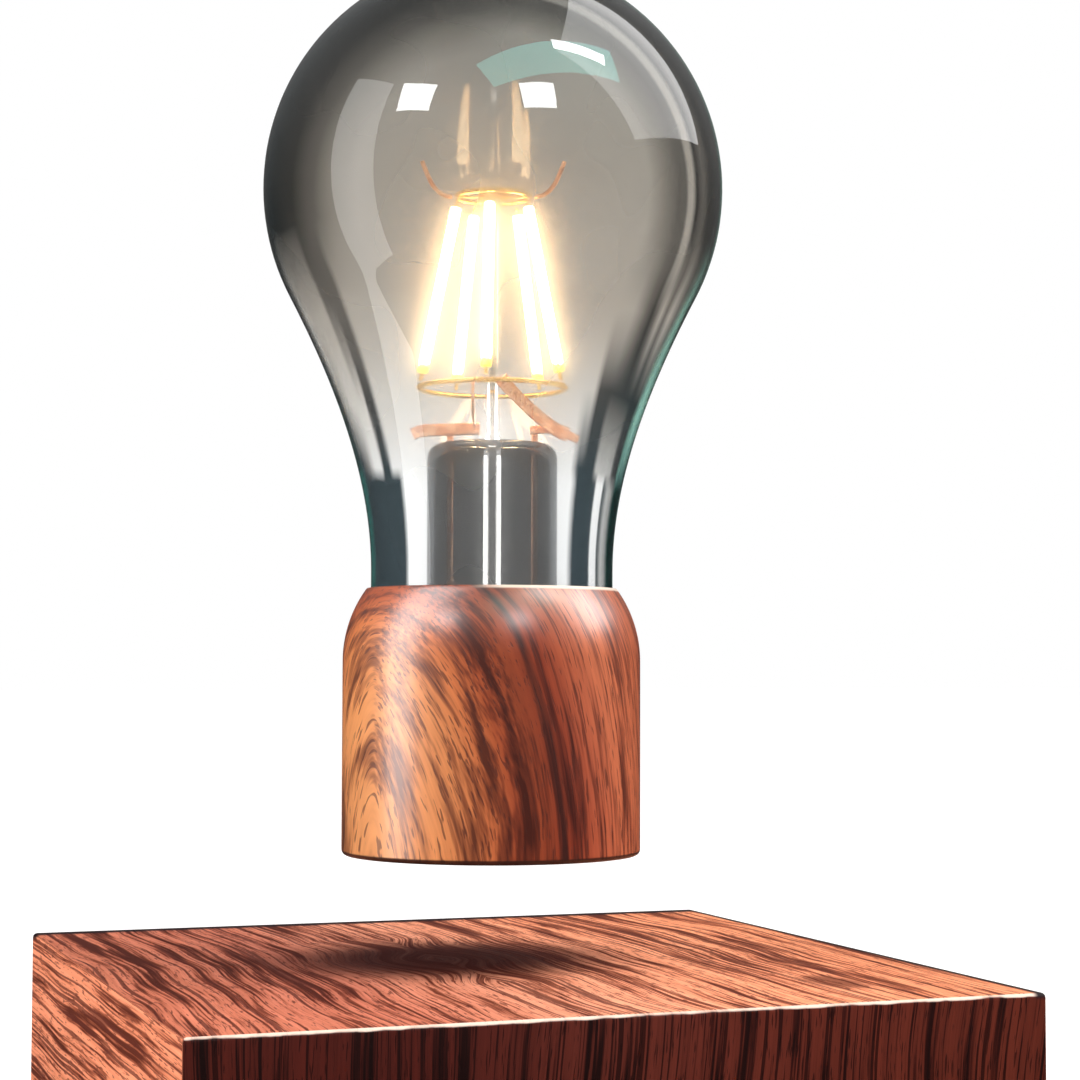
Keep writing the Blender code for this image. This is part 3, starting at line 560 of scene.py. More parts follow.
def woodenBase(size):
    half = size["half"]
    block = boxPiece("woodenBase", (-half, -half, size["low"]), (half, half, size["top"]))
    selectEdges(block)
    bevelPicked(size["edge"], 3)
    below = size["low"] - 2 * mm   # the cutters reach out of the wood
    cutters = [roundedBox("rebate", size["rebateHalf"], below, size["rebateTop"], size["rebateCorner"], 8),
               roundedBox("hollow", size["cavityHalf"], below, size["cavityTop"], size["cavityCorner"], 16)]
    for radius, near, far in ((size["recessRadius"], size["recessFace"], half + 2 * mm),
                              (size["noseHole"], size["cavityHalf"] - 1 * mm, half)):
        cutters.append(rodCutter(radius, far - near, (0, (near + far) / 2, size["inletHeight"])))
    place, radius, top = several(size, "screwPlace", "pilotRadius", "pilotTop")
    for x in (-place, place):
        for y in (-place, place):
            cutters.append(rodCutter(radius, top, (x, y, top / 2), 24, 0))
    cutAway(block, *cutters)
    dress(block, baseWood(baseWoodLook), "base", "base_wood", "base_housing")


woodenBase(baseBlock)
print("base block done")

capShape = lengths({
    "radius": 19.3, "low": 40.1, "top": 74.4, "bore": 16.0, "footRound": 0.7,
    "shoulderAcross": 3.3, "shoulderUp": 65.0, "shoulderRound": 16.0,
    "rim": 16.25, "rimBevel": 0.06, "rimFall": 0.08, "recess": 17.3, "recessTop": 42.0,
})


def woodenCap(size):
    low, top, bore, recess, recessTop = several(size, "low", "top", "bore", "recess", "recessTop")
    foot, across, up, rounding = several(size, "footRound", "shoulderAcross", "shoulderUp", "shoulderRound")
    shoulderEnd = asin((top - up - size["rimFall"]) / rounding)
    profile = [(recess, low)]
    profile += arcPoints((size["radius"] - foot, low + foot), foot, -pi / 2, 0, 5)
    profile += arcPoints((across, up), rounding, 0, shoulderEnd, 22)
    profile += [(size["rim"] - size["rimBevel"], top), (bore, top), (bore, recessTop), (recess, recessTop),
                (recess, low)]
    cap = turnedPiece("woodenCap", profile, 160)
    dress(cap, capWood(capWoodLook), "bulb", "cap_wood", "wood_cap", smooth=30)


woodenCap(capShape)
print("cap done")

# Glass

glassLook = {
    # tint where light passes straight through, from the neck to the crown, in mm above the table
    "smoke": [(88, rgb(252, 253, 253)), (97, rgb(232, 231, 228)), (110, rgb(203, 199, 193)),
              (132, rgb(196, 192, 185)), (156, rgb(172, 171, 167))],
    "tones": {"clear": (1, 1, 1), "haze": (0.62, 0.62, 0.61), "grey": (0.34, 0.34, 0.34),
              "dark": (0.12, 0.125, 0.13), "deep": (0.055, 0.075, 0.085), "teal": (0.45, 0.9, 0.8),
              "midTeal": (0.05, 0.19, 0.17), "deepTeal": (0.03, 0.12, 0.105)},
    # What the wall lets through from the middle (0) to the outline (100), going up the bulb, on its left and
    # on its right. Past the clear middle these are painted reflections and painted shade: dark bands, pale
    # streaks and teal lines standing for the studio seen in and through the wall.
    "edges": [
        (87.5, "27 clear, 30 deep, 70 deep, 80 midTeal, 92 midTeal, 100 deepTeal",
         "21 clear, 25 deep, 39 deep, 41 clear, 47.5 clear, 49.5 deep, 56 haze, 62 haze, 68 deepTeal, "
         "85 deepTeal, 93 teal, 100 deepTeal"),
        (89.5, "34 clear, 37 deep, 42 deep, 44.5 clear, 52 clear, 60 grey, 72 deep, 100 deepTeal",
         "20 clear, 24 deep, 35 deep, 38 haze, 54 haze, 58 dark, 64 dark, 68 teal, 80 teal, "
         "92 deepTeal"),
        (98, "36 clear, 39 dark, 44 dark, 46 clear, 62 clear, 72 haze, 80 dark, 100 deepTeal",
         "26 clear, 29 dark, 57 deep, 66 deep, 74 teal, 90 teal, 100 deepTeal"),
        (109, "37 clear, 40 grey, 50 grey, 53 clear, 76 clear, 83 grey, 93 deep",
         "35 clear, 43 grey, 47 dark, 50 grey, 54 clear, 58 grey, 63 clear, 70 grey, 80 teal, "
         "90 dark, 100 deepTeal"),
        (119, "20 clear, 31 haze, 38 grey, 52 dark, 76 deep, 100 deep",
         "27 clear, 34 haze, 42 grey, 46.5 grey, 48.5 clear, 51.5 clear, 54.5 dark, 60 grey, 68 dark, "
         "86 dark, 94 teal, 100 deepTeal"),
    ],
    "right": (0.938, -0.348, 0), "sideBlend": 4.0,   # where its left side gives way to its right one
    "cloudSize": 16, "cloudSway": 6.0, "ior": 1.45,
    "dustRoughness": 0.43, "dustShare": (0.192, 0.288), "dustSize": 20,
}


def clearGlass(name, ior):
    nodes, shader = newMaterial(name)
    nodes.fill(shader, {"Transmission Weight": 1.0, "Roughness": 0.0, "IOR": ior})
    return nodes, shader


def smokeTint(nodes, look):  # its place in the glass, its height there and its colour
    place = nodes.inMillimetres()
    cloud = nodes.noise(place, 1 / look["cloudSize"], 2.0)
    z = nodes.timesPlus(nodes.minus(cloud, 0.5), look["cloudSway"], nodes.apart(place)[2])
    return place, z, zoneColour(nodes, z, look["smoke"])


def outerGlass(look):
    nodes, shader = clearGlass("smokyGlass", look["ior"])
    place, z, colour = smokeTint(nodes, look)
    facing = nodes.facing()
    toRight = nodes.value("VectorMath", {0: place, 1: look["right"]}, "Value", operation="DOT_PRODUCT")
    rightShare = nodes.ease(toRight, -look["sideBlend"], look["sideBlend"])
    edge, below = None, 0
    for level, *sides in look["edges"]:
        ramps = []
        for words in sides:
            stops = [word.split() for word in words.split(", ")]
            stops = [(float(slant) / 100, (*look["tones"][tone], 1)) for slant, tone in stops]
            ramps.append(nodes.ramp(facing, stops))
        here = nodes.blend(rightShare, *ramps)
        edge = nodes.blend(nodes.ease(z, below, level, kind="LINEAR"), edge, here) if edge else here
        below = level
    edge = nodes.tinted(edge, edge)   # the light passes the wall twice
    nodes.connect(nodes.tinted(colour, edge), shader.inputs["Base Color"])
    return nodes.owner


def dustyGlass(look):  # the wall's inner face, with fine dust that spreads the filaments' light
    nodes, shader = clearGlass("dustyGlass", look["ior"])
    place, _, colour = smokeTint(nodes, look)
    nodes.connect(colour, shader.inputs["Base Color"])
    dust = nodes.value("BsdfPrincipled", {"Base Color": colour, "Roughness": look["dustRoughness"],
                                          "IOR": look["ior"], "Transmission Weight": 1.0})
    share = nodes.ease(nodes.noise(place, 1 / look["dustSize"], 1.0), 0.3, 0.7, *look["dustShare"])
    nodes.output(nodes.mixShaders(share, shader.outputs[0], dust))
    return nodes.owner


bulbShape = {
    "pearAngle": radians(-27.6),   # where the ball runs into the pear shape
    **lengths({
        "radius": 30.0, "centre": 126.5, "upperHandle": 15.0, "lowerHandle": 11.0, "wall": 0.8,
        "neck": 15.7, "neckStraight": 76.6, "neckLow": 67.4, "gap": 0.3,
        "stemRadius": 8.5, "stemTop": 93.4, "stemWall": 0.9, "stemFoot": 0.9, "stemRound": 2.0,
        "waist": 76.4,
        "tubeRadius": 1.15, "tubeBore": 0.75, "tubeGap": 0.2,
        "pillarRadius": 1.15, "pillarTop": 128.0, "knob": 1.5, "knobHeight": 2.6,
        "rodTop": 0.7, "rodFoot": 0.62, "footHeight": 1.2,
    }),
}


def envelopeProfile(size, offset):
    radius, neck, angle = size["radius"] - offset, size["neck"] - offset, size["pearAngle"]
    crown = arcPoints((0, size["centre"]), radius, pi / 2, angle, 48)
    crown[0] = (0, size["centre"] + radius)
    x, z = crown[-1]
    straight, upper, lower = several(size, "neckStraight", "upperHandle", "lowerHandle")
    upper = (x + sin(angle) * upper, z - cos(angle) * upper)
    pear = bezierPoints((x, z), upper, (neck, straight + lower), (neck, straight), steps=28)
    return crown + pear[1:] + [(neck, size["neckLow"])]


def glassBulb(size, look):
    outer, inner = envelopeProfile(size, 0), envelopeProfile(size, size["wall"])
    bulb = turnedPiece("glassBulb", outer + inner[::-1], 128)
    bulb.data.materials.append(outerGlass(look))
    bulb.data.materials.append(dustyGlass(look))
    for face in bulb.data.polygons:  # inner faces look to the axis
        x, y, z = face.center
        if face.normal.x * x + face.normal.y * y < 0 and z > size["neckLow"] + 0.1 * mm:
            face.material_index = 1
    bulb.visible_shadow = False
    dress(bulb, None, "bulb", "smoky_glass", "glass_envelope", smooth=60)


glassBulb(bulbShape, glassLook)
print("glass bulb done")

stemLook = {
    "ior": 1.18, "drawn": (0.6, 0.6, 0.05),    # faint draw lines up the glass
    # the stem's grey tint and darker outline are painted shade, standing for dark surroundings seen through
    # it
    "tint": rgb(112, 113, 114), "edge": rgb(62, 66, 70), "edgePlace": (0.25, 0.8),
    # the thin tube and the pillar glow at their edges, a painted highlight, and are darker at the outline,
    # painted shade
    "tubeClear": rgb(190, 190, 190), "tubeEdge": rgb(96, 98, 102), "tubeEdgePlace": (0.15, 0.45),
    "glow": rgb(255, 250, 244), "glowEdge": (0.20, 0.30),
    "glowHeight": (102.0, 99.0), "glowStrength": (0.28, 7.0),
}


def drawnGlass(name, look, fineness):
    nodes, shader = clearGlass(name, look["ior"])
    place = nodes.value("VectorMath", {0: nodes.inMillimetres(), 1: look["drawn"]}, operation="MULTIPLY")
    return nodes, shader, nodes.noise(place, fineness, 2.0)


def stemGlass(look):
    nodes, shader, lines = drawnGlass("stemGlass", look, 1.0)
    # painted shade: darker towards the outline
    slant = nodes.ease(nodes.timesPlus(lines, 0.2, nodes.facing()), *look["edgePlace"])
    nodes.connect(nodes.blend(slant, look["tint"], look["edge"]), shader.inputs["Base Color"])
    return nodes.owner


def tubeGlass(look):
    nodes, shader, lines = drawnGlass("tubeGlass", look, 2.0)
    facing = nodes.facing()
    colour = nodes.blend(nodes.ease(facing, *look["tubeEdgePlace"]), look["tubeClear"], look["tubeEdge"])
    edge = nodes.ease(nodes.timesPlus(lines, 0.06, facing), *look["glowEdge"])
    z = nodes.apart(nodes.inMillimetres())[2]
    # painted highlight: the edges glow, strongly below the stem's top and faintly above
    glow = nodes.times(edge, nodes.ease(z, *look["glowHeight"], *look["glowStrength"]))
    nodes.fill(shader, {"Base Color": colour, "Emission Color": look["glow"], "Emission Strength": glow})
    return nodes.owner


def stemProfile(size, foot, radius, footLevel, top):  # from the foot in the neck up to the rounded top
    corner = (radius, footLevel)
    flare = bezierPoints((foot, footLevel), corner, corner, (radius, size["waist"]), steps=16)
    rounding = size["stemRound"]
    return flare + arcPoints((radius - rounding, top - rounding), rounding, 0, pi / 2, 8) + [(0, top)]


def stemPieces(size, look):
    gap, radius, wall = several(size, "gap", "stemRadius", "stemWall")
    foot, top, low = size["neck"] - size["wall"] - gap, size["stemTop"], size["neckLow"]
    outside = [(foot, low)] + stemProfile(size, foot, radius, low + size["stemFoot"], top)
    inside = stemProfile(size, foot - wall, radius - wall, low, top - wall)
    stem = turnedPiece("glassStem", outside[::-1] + inside, 96)
    stem.data.materials.append(stemGlass(look))
    tubeTop = top - wall - size["tubeGap"]
    outer, inner = size["tubeRadius"], size["tubeBore"]
    tube = [(outer, low), (outer, tubeTop), (inner, tubeTop), (inner, low), (outer, low)]
    tube = turnedPiece("tube", tube, 40)
    glowingEdgeGlass = tubeGlass(look)
    tube.data.materials.append(glowingEdgeGlass)
    stem = joinPieces("glassStem", stem, tube)

    high, knob = size["pillarTop"], size["knob"]
    tip = arcPoints((0, high - knob), knob * 0.76, pi / 2, -0.3, 8)
    rod = [(0, high)] + tip[1:]
    rod += [(size["rodTop"], high - size["knobHeight"]), (size["rodFoot"], top + size["footHeight"]),
            (size["pillarRadius"], top + gap), (0, top + gap)]
    pillar = turnedPiece("glassPillar", rod, 32)
    stem.visible_shadow = pillar.visible_shadow = False
    dress(stem, None, "bulb", "clear_glass", "glass_stem", smooth=60)
    dress(pillar, glowingEdgeGlass, "bulb", "clear_glass", "glass_pillar", smooth=60)


stemPieces(bulbShape, stemLook)
print("stem done")

# Metal and filaments

mountTurn = radians(-20.3)
mountShape = {
    **lengths({
        "ringRadius": 9.6, "ringWire": 0.4, "ringLevel": 100.7, "gap": 0.3,
        "hubRadius": 4.75, "hubWire": 0.35, "hubLevel": 125.9, "spokeStart": 1.5, "spokeWire": 0.17,
        "filamentRadius": 0.75, "tabRadius": 0.25, "tabLength": 1.05, "tabEdge": 0.02,
        "hookReach": 4.6, "hookRise": 4.7, "hookWire": 0.3,
        "turnReach": 0.27, "turnWire": 0.13, "leadRadius": 0.45, "leadOffset": 5.5,
    }),
    "firstFilament": radians(-22.0),
    "filamentEnd": [(0, 1.0), (0.55, 1.0), (0.9, 1.12), (1, 1.4)],   # share of its radius, height in mm
    "collar": inMetres((1.45, -0.5), (2.0, -0.6), (2.05, 0), (2.0, 0.6), (1.45, 0.5), (1.45, -0.5)),
    # at each filament's foot the ring's own wire, thinner there, is wound round it
    "turns": 4, "turnsSpan": radians(18), "ringCore": 0.8,
    # in mm: depth and height of a lead's pin, then the blades of the left and of the right lead, each with
    # its route (across, depth, height), half width and thickness
    "pin": [(0, 56.1), (0, 93.6), (-0.1, 95.0)],
    "blades": (
        (([(-10.4, -0.9, 94.5), (-9.0, -0.8, 95.0), (-5.5, -0.6, 95.2), (-1.6, -0.9, 95.3)], 0.8, 0.16),
         ([(-2.3, -9.35, 100.3), (-2.35, -8.2, 98.0), (-2.3, -4.5, 96.3), (-2.2, -1.0, 95.6)], 0.35, 0.2)),
        (([(1.3, -9.5, 100.9), (2.6, -8.6, 99.4), (5.4, -5.2, 97.0), (8.2, -1.6, 95.2), (9.8, -0.6, 94.6)],
          0.95, 0.16),
         ([(4.9, -0.8, 95.1), (7.2, -1.0, 95.2), (9.4, -0.7, 94.7), (11.2, -0.4, 93.9)], 0.55, 0.16)),
    ),
}


def metal(name, bright, dull, roughness, scale=1.4):
    nodes, shader = newMaterial(name)
    place = nodes.inMillimetres()
    stain = nodes.ease(nodes.noise(place, scale, 3.0, 0.6), 0.38, 0.62)
    fine = nodes.noise(place, scale * 6, 2.0)
    nodes.fill(shader, {"Base Color": nodes.blend(stain, bright, dull), "Metallic": 1.0,
                        "Roughness": nodes.ease(fine, 0.3, 0.7, roughness * 0.8, roughness * 1.25)})
    nodes.bump(shader, fine, 0.01 * mm, 0.4)
    return nodes.owner


copperFinish = metal("copper", rgb(240, 188, 152), rgb(214, 146, 108), 0.32, 0.5)
brassFinish = metal("brassWire", rgb(240, 208, 128), rgb(198, 150, 78), 0.25)
steelFinish = metal("steel", rgb(206, 206, 204), rgb(160, 158, 156), 0.32, 0.8)

filamentLook = {
    "core": rgb(255, 222, 176), "coreStrength": 62.0,
    "edge": rgb(255, 198, 128), "edgeStrength": 14.0,
    "end": rgb(255, 212, 60), "endStrength": 1.3, "lowEnd": (102.0, 105.0), "highEnd": (126.0, 125.2),
    "coat": rgb(246, 196, 84), "coatDark": rgb(224, 160, 60),
}


def phosphorFinish(look):
    nodes, shader = newMaterial("phosphor")
    place = nodes.inMillimetres()
    grain = nodes.noise(place, 2.2, 3.0)
    z = nodes.timesPlus(grain, 0.8, nodes.apart(place)[2])
    lit = nodes.times(nodes.ease(z, *look["lowEnd"]), nodes.ease(z, *look["highEnd"]))
    lit = nodes.ease(lit, 0.45, 1.0)
    core = nodes.ease(nodes.facing(), 0.75, 0.25)
    strength = nodes.ease(core, 0.0, 1.0, look["edgeStrength"], look["coreStrength"], "LINEAR")
    strength = nodes.ease(nodes.times(lit, lit), 0.0, 1.0, look["endStrength"], strength, "LINEAR")
    light = nodes.blend(lit, look["end"], nodes.blend(core, look["edge"], look["core"]))
    coat = nodes.blend(nodes.ease(grain, 0.35, 0.65, 0.0, 0.4), look["coat"], look["coatDark"])
    nodes.fill(shader, {"Base Color": coat, "Roughness": 0.4, "Emission Color": light,
                        "Emission Strength": strength})
    nodes.bump(shader, grain, 0.03 * mm, 0.5)
    return nodes.owner


def mountPoint(across, depth, height):
    return tuple(Matrix.Rotation(mountTurn, 3, "Z") @ Vector((across, depth, height)))


def filaments(size, look):
    phosphor = phosphorFinish(look)
    low = size["ringLevel"] + size["ringWire"] + size["gap"]
    rise = size["hubLevel"] - size["hubWire"] - size["gap"] - low
    inwards = size["ringRadius"] - size["hubRadius"]
    length, lean = hypot(rise, inwards), atan2(inwards, rise)
    radius = size["filamentRadius"]
    halfRod = [(radius * share, height * mm) for share, height in size["filamentEnd"]]
    rod = halfRod + [(radius, length / 2)] + [(r, length - z) for r, z in halfRod[::-1]]
    tabRadius, tabLength, tabEdge = several(size, "tabRadius", "tabLength", "tabEdge")
    tab = [(0, 0), (tabRadius, tabEdge), (tabRadius, tabLength), (0, tabLength)]
    for number in range(1, 6):
        rodPiece = turnedPiece("rod", rod, 24)
        rodPiece.data.materials.append(phosphor)
        lowTab = turnedPiece("tabLow", tab, 12)
        highTab = copyOf(lowTab, "tabHigh", moveBy(0, 0, length - tabLength - tabEdge))
        for piece in (lowTab, highTab):
            piece.data.materials.append(brassFinish)
        piece = joinPieces(f"filament{number}", rodPiece, lowTab, highTab)
        turn = turnBy(filamentTurn(size, number))
        piece.data.transform(turn @ moveBy(size["ringRadius"], 0, low) @ turnBy(-lean, "Y"))
        dress(piece, None, "bulb", "phosphor", f"filament_{number}", smooth=50)


def filamentTurn(size, number):
    return mountTurn + size["firstFilament"] + (number - 1) * tau / 5


filaments(mountShape, filamentLook)
print("filaments done")


def torus(name, radius, wireRadius, level):
    deselectAll()
    bpy.ops.mesh.primitive_torus_add(major_radius=radius, minor_radius=wireRadius, major_segments=96,
                                     minor_segments=12, location=(0, 0, level))
    piece = bpy.context.object
    piece.name = name
    return placeInMesh(piece)


def lowerRing(size):
    ring = torus("lowerRing", size["ringRadius"], size["ringWire"] * size["ringCore"], size["ringLevel"])
    turns, steps = [], 48
    for number in range(1, 6):
        coil = []
        for share in (k / steps for k in range(steps + 1)):
            swing = tau * size["turns"] * share
            angle = filamentTurn(size, number) + size["turnsSpan"] * (share - 0.5)
            reach = size["ringRadius"] + size["turnReach"] * cos(swing)
            coil.append((reach * cos(angle), reach * sin(angle),
                         size["ringLevel"] + size["turnReach"] * sin(swing)))
        turns.append(wirePiece("turns", coil, size["turnWire"], 2))
    ring = joinPieces("lowerRing", ring, *turns)
    dress(ring, brassFinish, "bulb", "brass_wire", "lower_ring", smooth=50)


def hubRing(size):
    level = size["hubLevel"]
    hub = torus("hubRing", size["hubRadius"], size["hubWire"], level)
    spokes = [wirePiece("spoke", [mountPoint(side * size["spokeStart"], 0, level),
                                  mountPoint(side * size["hubRadius"], 0, level)], size["spokeWire"], 2)
              for side in (-1, 1)]
    collar = turnedPiece("collar", [(r, level + z) for r, z in size["collar"]], 32)
    hub = joinPieces("hubRing", hub, collar, *spokes)
    dress(hub, brassFinish, "bulb", "brass_wire", "hub_ring", smooth=50)


def anchorHooks(size):
    radius, level, reach, rise = several(size, "hubRadius", "hubLevel", "hookReach", "hookRise")
    start, end = radius + size["hubWire"] + size["gap"], radius + reach
    route = [(start, 0), (start + reach / 2, 0), (end - reach / 5, rise / 2), (end, rise)]
    for number, side in enumerate((-1, 1), 1):
        points = [mountPoint(side * x, 0, level + z) for x, z in route]
        hook = wirePiece(f"anchorHook{number}", bezierPoints(*points, steps=20), size["hookWire"])
        dress(hook, copperFinish, "bulb", "copper", f"anchor_hook_{number}", smooth=50)


def leadWires(size):  # round pins up out of the stem, flattened into blades above it
    for number, side in enumerate((-1, 1), 1):
        across = side * size["leadOffset"]
        pin = [mountPoint(across, depth, height) for depth, height in inMetres(*size["pin"])]
        parts = [wirePiece("pin", pin, size["leadRadius"])]
        for points, halfWidth, thickness in size["blades"][number - 1]:
            route = [mountPoint(*p) for p in inMetres(*smoothed(points, 8))]
            parts.append(ribbonPiece("blade", route, halfWidth * mm, thickness * mm))
        lead = joinPieces(f"leadWire{number}", *parts)
        dress(lead, copperFinish, "bulb", "copper", f"lead_wire_{number}", smooth=50)


lowerRing(mountShape)
hubRing(mountShape)
anchorHooks(mountShape)
leadWires(mountShape)
print("mount wires done")

# Underside, feet, screws and inlet

def moulded(name, colour, paleSpeck, roughness, grainDepth=0.02 * mm):
    nodes, shader = newMaterial(name)
    place = nodes.inMillimetres()
    grain = nodes.noise(place, 3.0, 3.0, 0.6)
    cloud = nodes.noise(place, 0.08, 2.0)
    mixed = nodes.blend(nodes.ease(grain, 0.35, 0.7, 0.0, 0.5), colour, paleSpeck)
    mixed = nodes.blend(nodes.ease(cloud, 0.35, 0.65, 0.0, 0.25), mixed, paleSpeck)
    nodes.fill(shader, {"Base Color": mixed,
                        "Roughness": nodes.ease(grain, 0.3, 0.7, roughness * 0.85, roughness * 1.15)})
    nodes.bump(shader, grain, grainDepth, 0.6)
    return nodes.owner


darkPlastic = moulded("darkPlastic", rgb(66, 64, 62), rgb(92, 89, 86), 0.48)
palePlastic = moulded("palePlastic", rgb(226, 222, 212), rgb(206, 202, 192), 0.5)
rubberFinish = moulded("rubber", rgb(38, 38, 38), rgb(56, 55, 54), 0.78, 0.04 * mm)


coverShape = {
    **lengths({"low": 40.1, "high": 41.7, "radius": 17.0, "edge": 0.3}),
    "face": inMetres((0, 0.25), (8.0, 0.25), (8.3, 0.05), (15.4, 0), (15.6, 0.3), (16.0, 0.3), (16.2, 0)),
}


def capCover(size):
    low, high, radius, edge = several(size, "low", "high", "radius", "edge")
    profile = [(r, low + z) for r, z in size["face"]]
    profile += [(radius - edge, low), (radius, low + edge), (radius, high), (0, high)]
    cover = turnedPiece("capCover", profile, 128)
    dress(cover, darkPlastic, "bulb", "dark_plastic", "cap_cover", smooth=30)


capCover(coverShape)

footShape = {   # in mm
    "reach": 33.0,
    "profile": [(0, 0.25), (2.6, 0.25), (2.9, 0.05), (3.3, 0), (4.5, 0), (4.82, 0.12), (5.0, 0.5), (5.0, 1.5),
                (0, 1.5)],
}
screwShape = {   # in mm
    "head": [(0, 1.8), (1.9, 1.8), (2.35, 1.95), (2.5, 2.3), (2.5, 3.0), (1.3, 3.0)],
    "threadLow": 3.4, "threadHigh": 9.4, "pitch": 0.5, "core": 1.05, "crest": 1.3,
    "tip": [(1.0, 9.8), (0, 10.8)], "slot": [(-3.0, -0.4, 0.4), (3.0, 0.4, 2.4)],
    "turn": 0.7,   # radians from one screw's slot to the next
}


def fourCopies(first, name, node, reach, turn, finish, slot):
    for number, (x, y) in enumerate([(1, -1), (1, 1), (-1, 1), (-1, -1)], 1):
        copy = copyOf(first, f"{name}{number}", moveBy(x * reach, y * reach, 0) @ turnBy(number * turn))
        dress(copy, finish, "base", slot, f"{node}_{number}", smooth=30)
    bpy.data.objects.remove(first)


def rubberFeet(size):
    foot = turnedPiece("rubberFoot", inMetres(*size["profile"]), 48)
    fourCopies(foot, "rubberFoot", "foot", size["reach"] * mm, 0, rubberFinish, "rubber")


def slottedScrews(size, reach):
    profile, z, pitch = list(size["head"]), size["threadLow"], size["pitch"]
    while z < size["threadHigh"] - pitch / 2:
        profile += [(size["core"], z), (size["crest"], z + pitch / 2)]
        z += pitch
    screw = turnedPiece("baseScrew", inMetres(*profile, *size["tip"]), 32)
    cutAway(screw, boxPiece("slot", *inMetres(*size["slot"])))
    fourCopies(screw, "baseScrew", "base_screw", reach, size["turn"], steelFinish, "steel")


rubberFeet(footShape)
slottedScrews(screwShape, baseBlock["screwPlace"])

inletShape = lengths({
    "half": 4.5, "back": 34.3, "front": 42.7, "face": 45.4, "nose": 5.0, "edge": 0.3,
    "bore": 3.2, "depth": 9.0, "pin": 1.0, "pinSunk": 0.8, "pinTaper": 1.2, "pinRoot": 0.4,
})


def powerInlet(size, level):
    half, edge, bore, nose, face = several(size, "half", "edge", "bore", "nose", "face")
    end = face - size["depth"]
    jack = boxPiece("jack", (-half, size["back"], level - half), (half, size["front"], level + half))
    selectEdges(jack)
    bevelPicked(edge, 2)
    cutAway(jack, rodCutter(bore, size["depth"] + 1 * mm, (0, (end + face + 1 * mm) / 2, level)))
    collar = [(bore, end), (bore, face - edge), (bore + edge, face), (nose - edge, face),
              (nose, face - edge), (nose, size["front"] - 1.0 * mm), (bore, end)]
    pin, tip, taper, root = several(size, "pin", "pinSunk", "pinTaper", "pinRoot")
    core = [(0, face - tip), (pin - edge, face - tip), (pin, face - taper), (pin, end - root),
            (0, end - root)]
    parts = [jack, turnedPiece("inletNose", collar, 64), turnedPiece("inletPin", core, 32)]
    for piece, finish in zip(parts, (darkPlastic, darkPlastic, steelFinish)):
        piece.data.materials.append(finish)
        if piece is not jack:  # laid down along Y
            piece.data.transform(moveBy(0, 0, level) @ turnBy(-pi / 2, "X"))
    dress(joinPieces("powerInlet", *parts), None, "base", "dark_plastic", "power_inlet", smooth=30)


powerInlet(inletShape, baseBlock["inletHeight"])
print("underside done")

# The works inside keep their CAD shapes

def boardFinish():
    nodes, shader = newMaterial("circuitBoard")
    place = nodes.inMillimetres()
    weave = {"Vector": place, "Scale": 0.9, "Mortar Size": 0.03, "Color1": rgb(28, 96, 58),
             "Color2": rgb(24, 84, 52), "Mortar": rgb(40, 120, 74)}
    weave = nodes.value("TexBrick", weave)
    patch = nodes.noise(place, 0.35, 2.0)
    colour = nodes.blend(nodes.ease(patch, 0.5, 0.56, 0.0, 0.5), weave, rgb(46, 130, 80))
    nodes.fill(shader, {"Base Color": colour, "Roughness": 0.35})
    nodes.bump(shader, patch, 0.02 * mm, 0.5)
    return nodes.owner


def windingFinish():
    nodes, shader = newMaterial("windings")
    wave = {"Vector": nodes.inMillimetres(), "Scale": 3.2, "Distortion": 0.3}
    turns = nodes.value("TexWave", wave, "Fac", bands_direction="Z")
    colour = nodes.ramp(turns, [(0.0, rgb(92, 40, 22)), (0.5, rgb(190, 104, 62)), (1.0, rgb(226, 146, 96))])
    nodes.fill(shader, {"Base Color": colour, "Metallic": 0.9, "Roughness": 0.3})
    nodes.bump(shader, turns, 0.1 * mm, 0.8)
    return nodes.owner


innerFinishes = {
    "circuit_board": boardFinish(),
    "copper": windingFinish(),
    "chip": moulded("chipBlack", rgb(24, 24, 26), rgb(44, 44, 46), 0.4),
    "ferrite": moulded("ferrite", rgb(54, 54, 58), rgb(74, 74, 78), 0.6),
    "magnet": metal("nickelPlate", rgb(196, 194, 190), rgb(168, 166, 160), 0.22, 0.5),
    "steel": steelFinish, "dark_plastic": darkPlastic, "pale_plastic": palePlastic, "rubber": rubberFinish,
}
slotOf = {row["node"]: row["material_slot"] for row in frame["record"]["subparts"]}
for node, piece in frame["nodes"].items():
    if slotOf[node] in innerFinishes and not piece.hide_render:
        piece.data.materials.clear()
        piece.data.materials.append(innerFinishes[slotOf[node]])
print("inner parts done")

# Studio

studio = {
    "floorColour": rgb(236, 235, 233), "floorShare": 0.42, "floorGlow": 0.81,
    "bounceShare": 0.5, "bounceGlow": 0.4,   # what the floor gives to everything but the camera
    "skyFill": 0.6, "skyReflect": (0.03, 0.3),
}


def seenDirectly(nodes):  # by the camera, also through the glass
    paths = nodes.add("LightPath").outputs
    return nodes.larger(paths["Is Camera Ray"], paths["Is Transmission Ray"]), paths["Is Glossy Ray"]


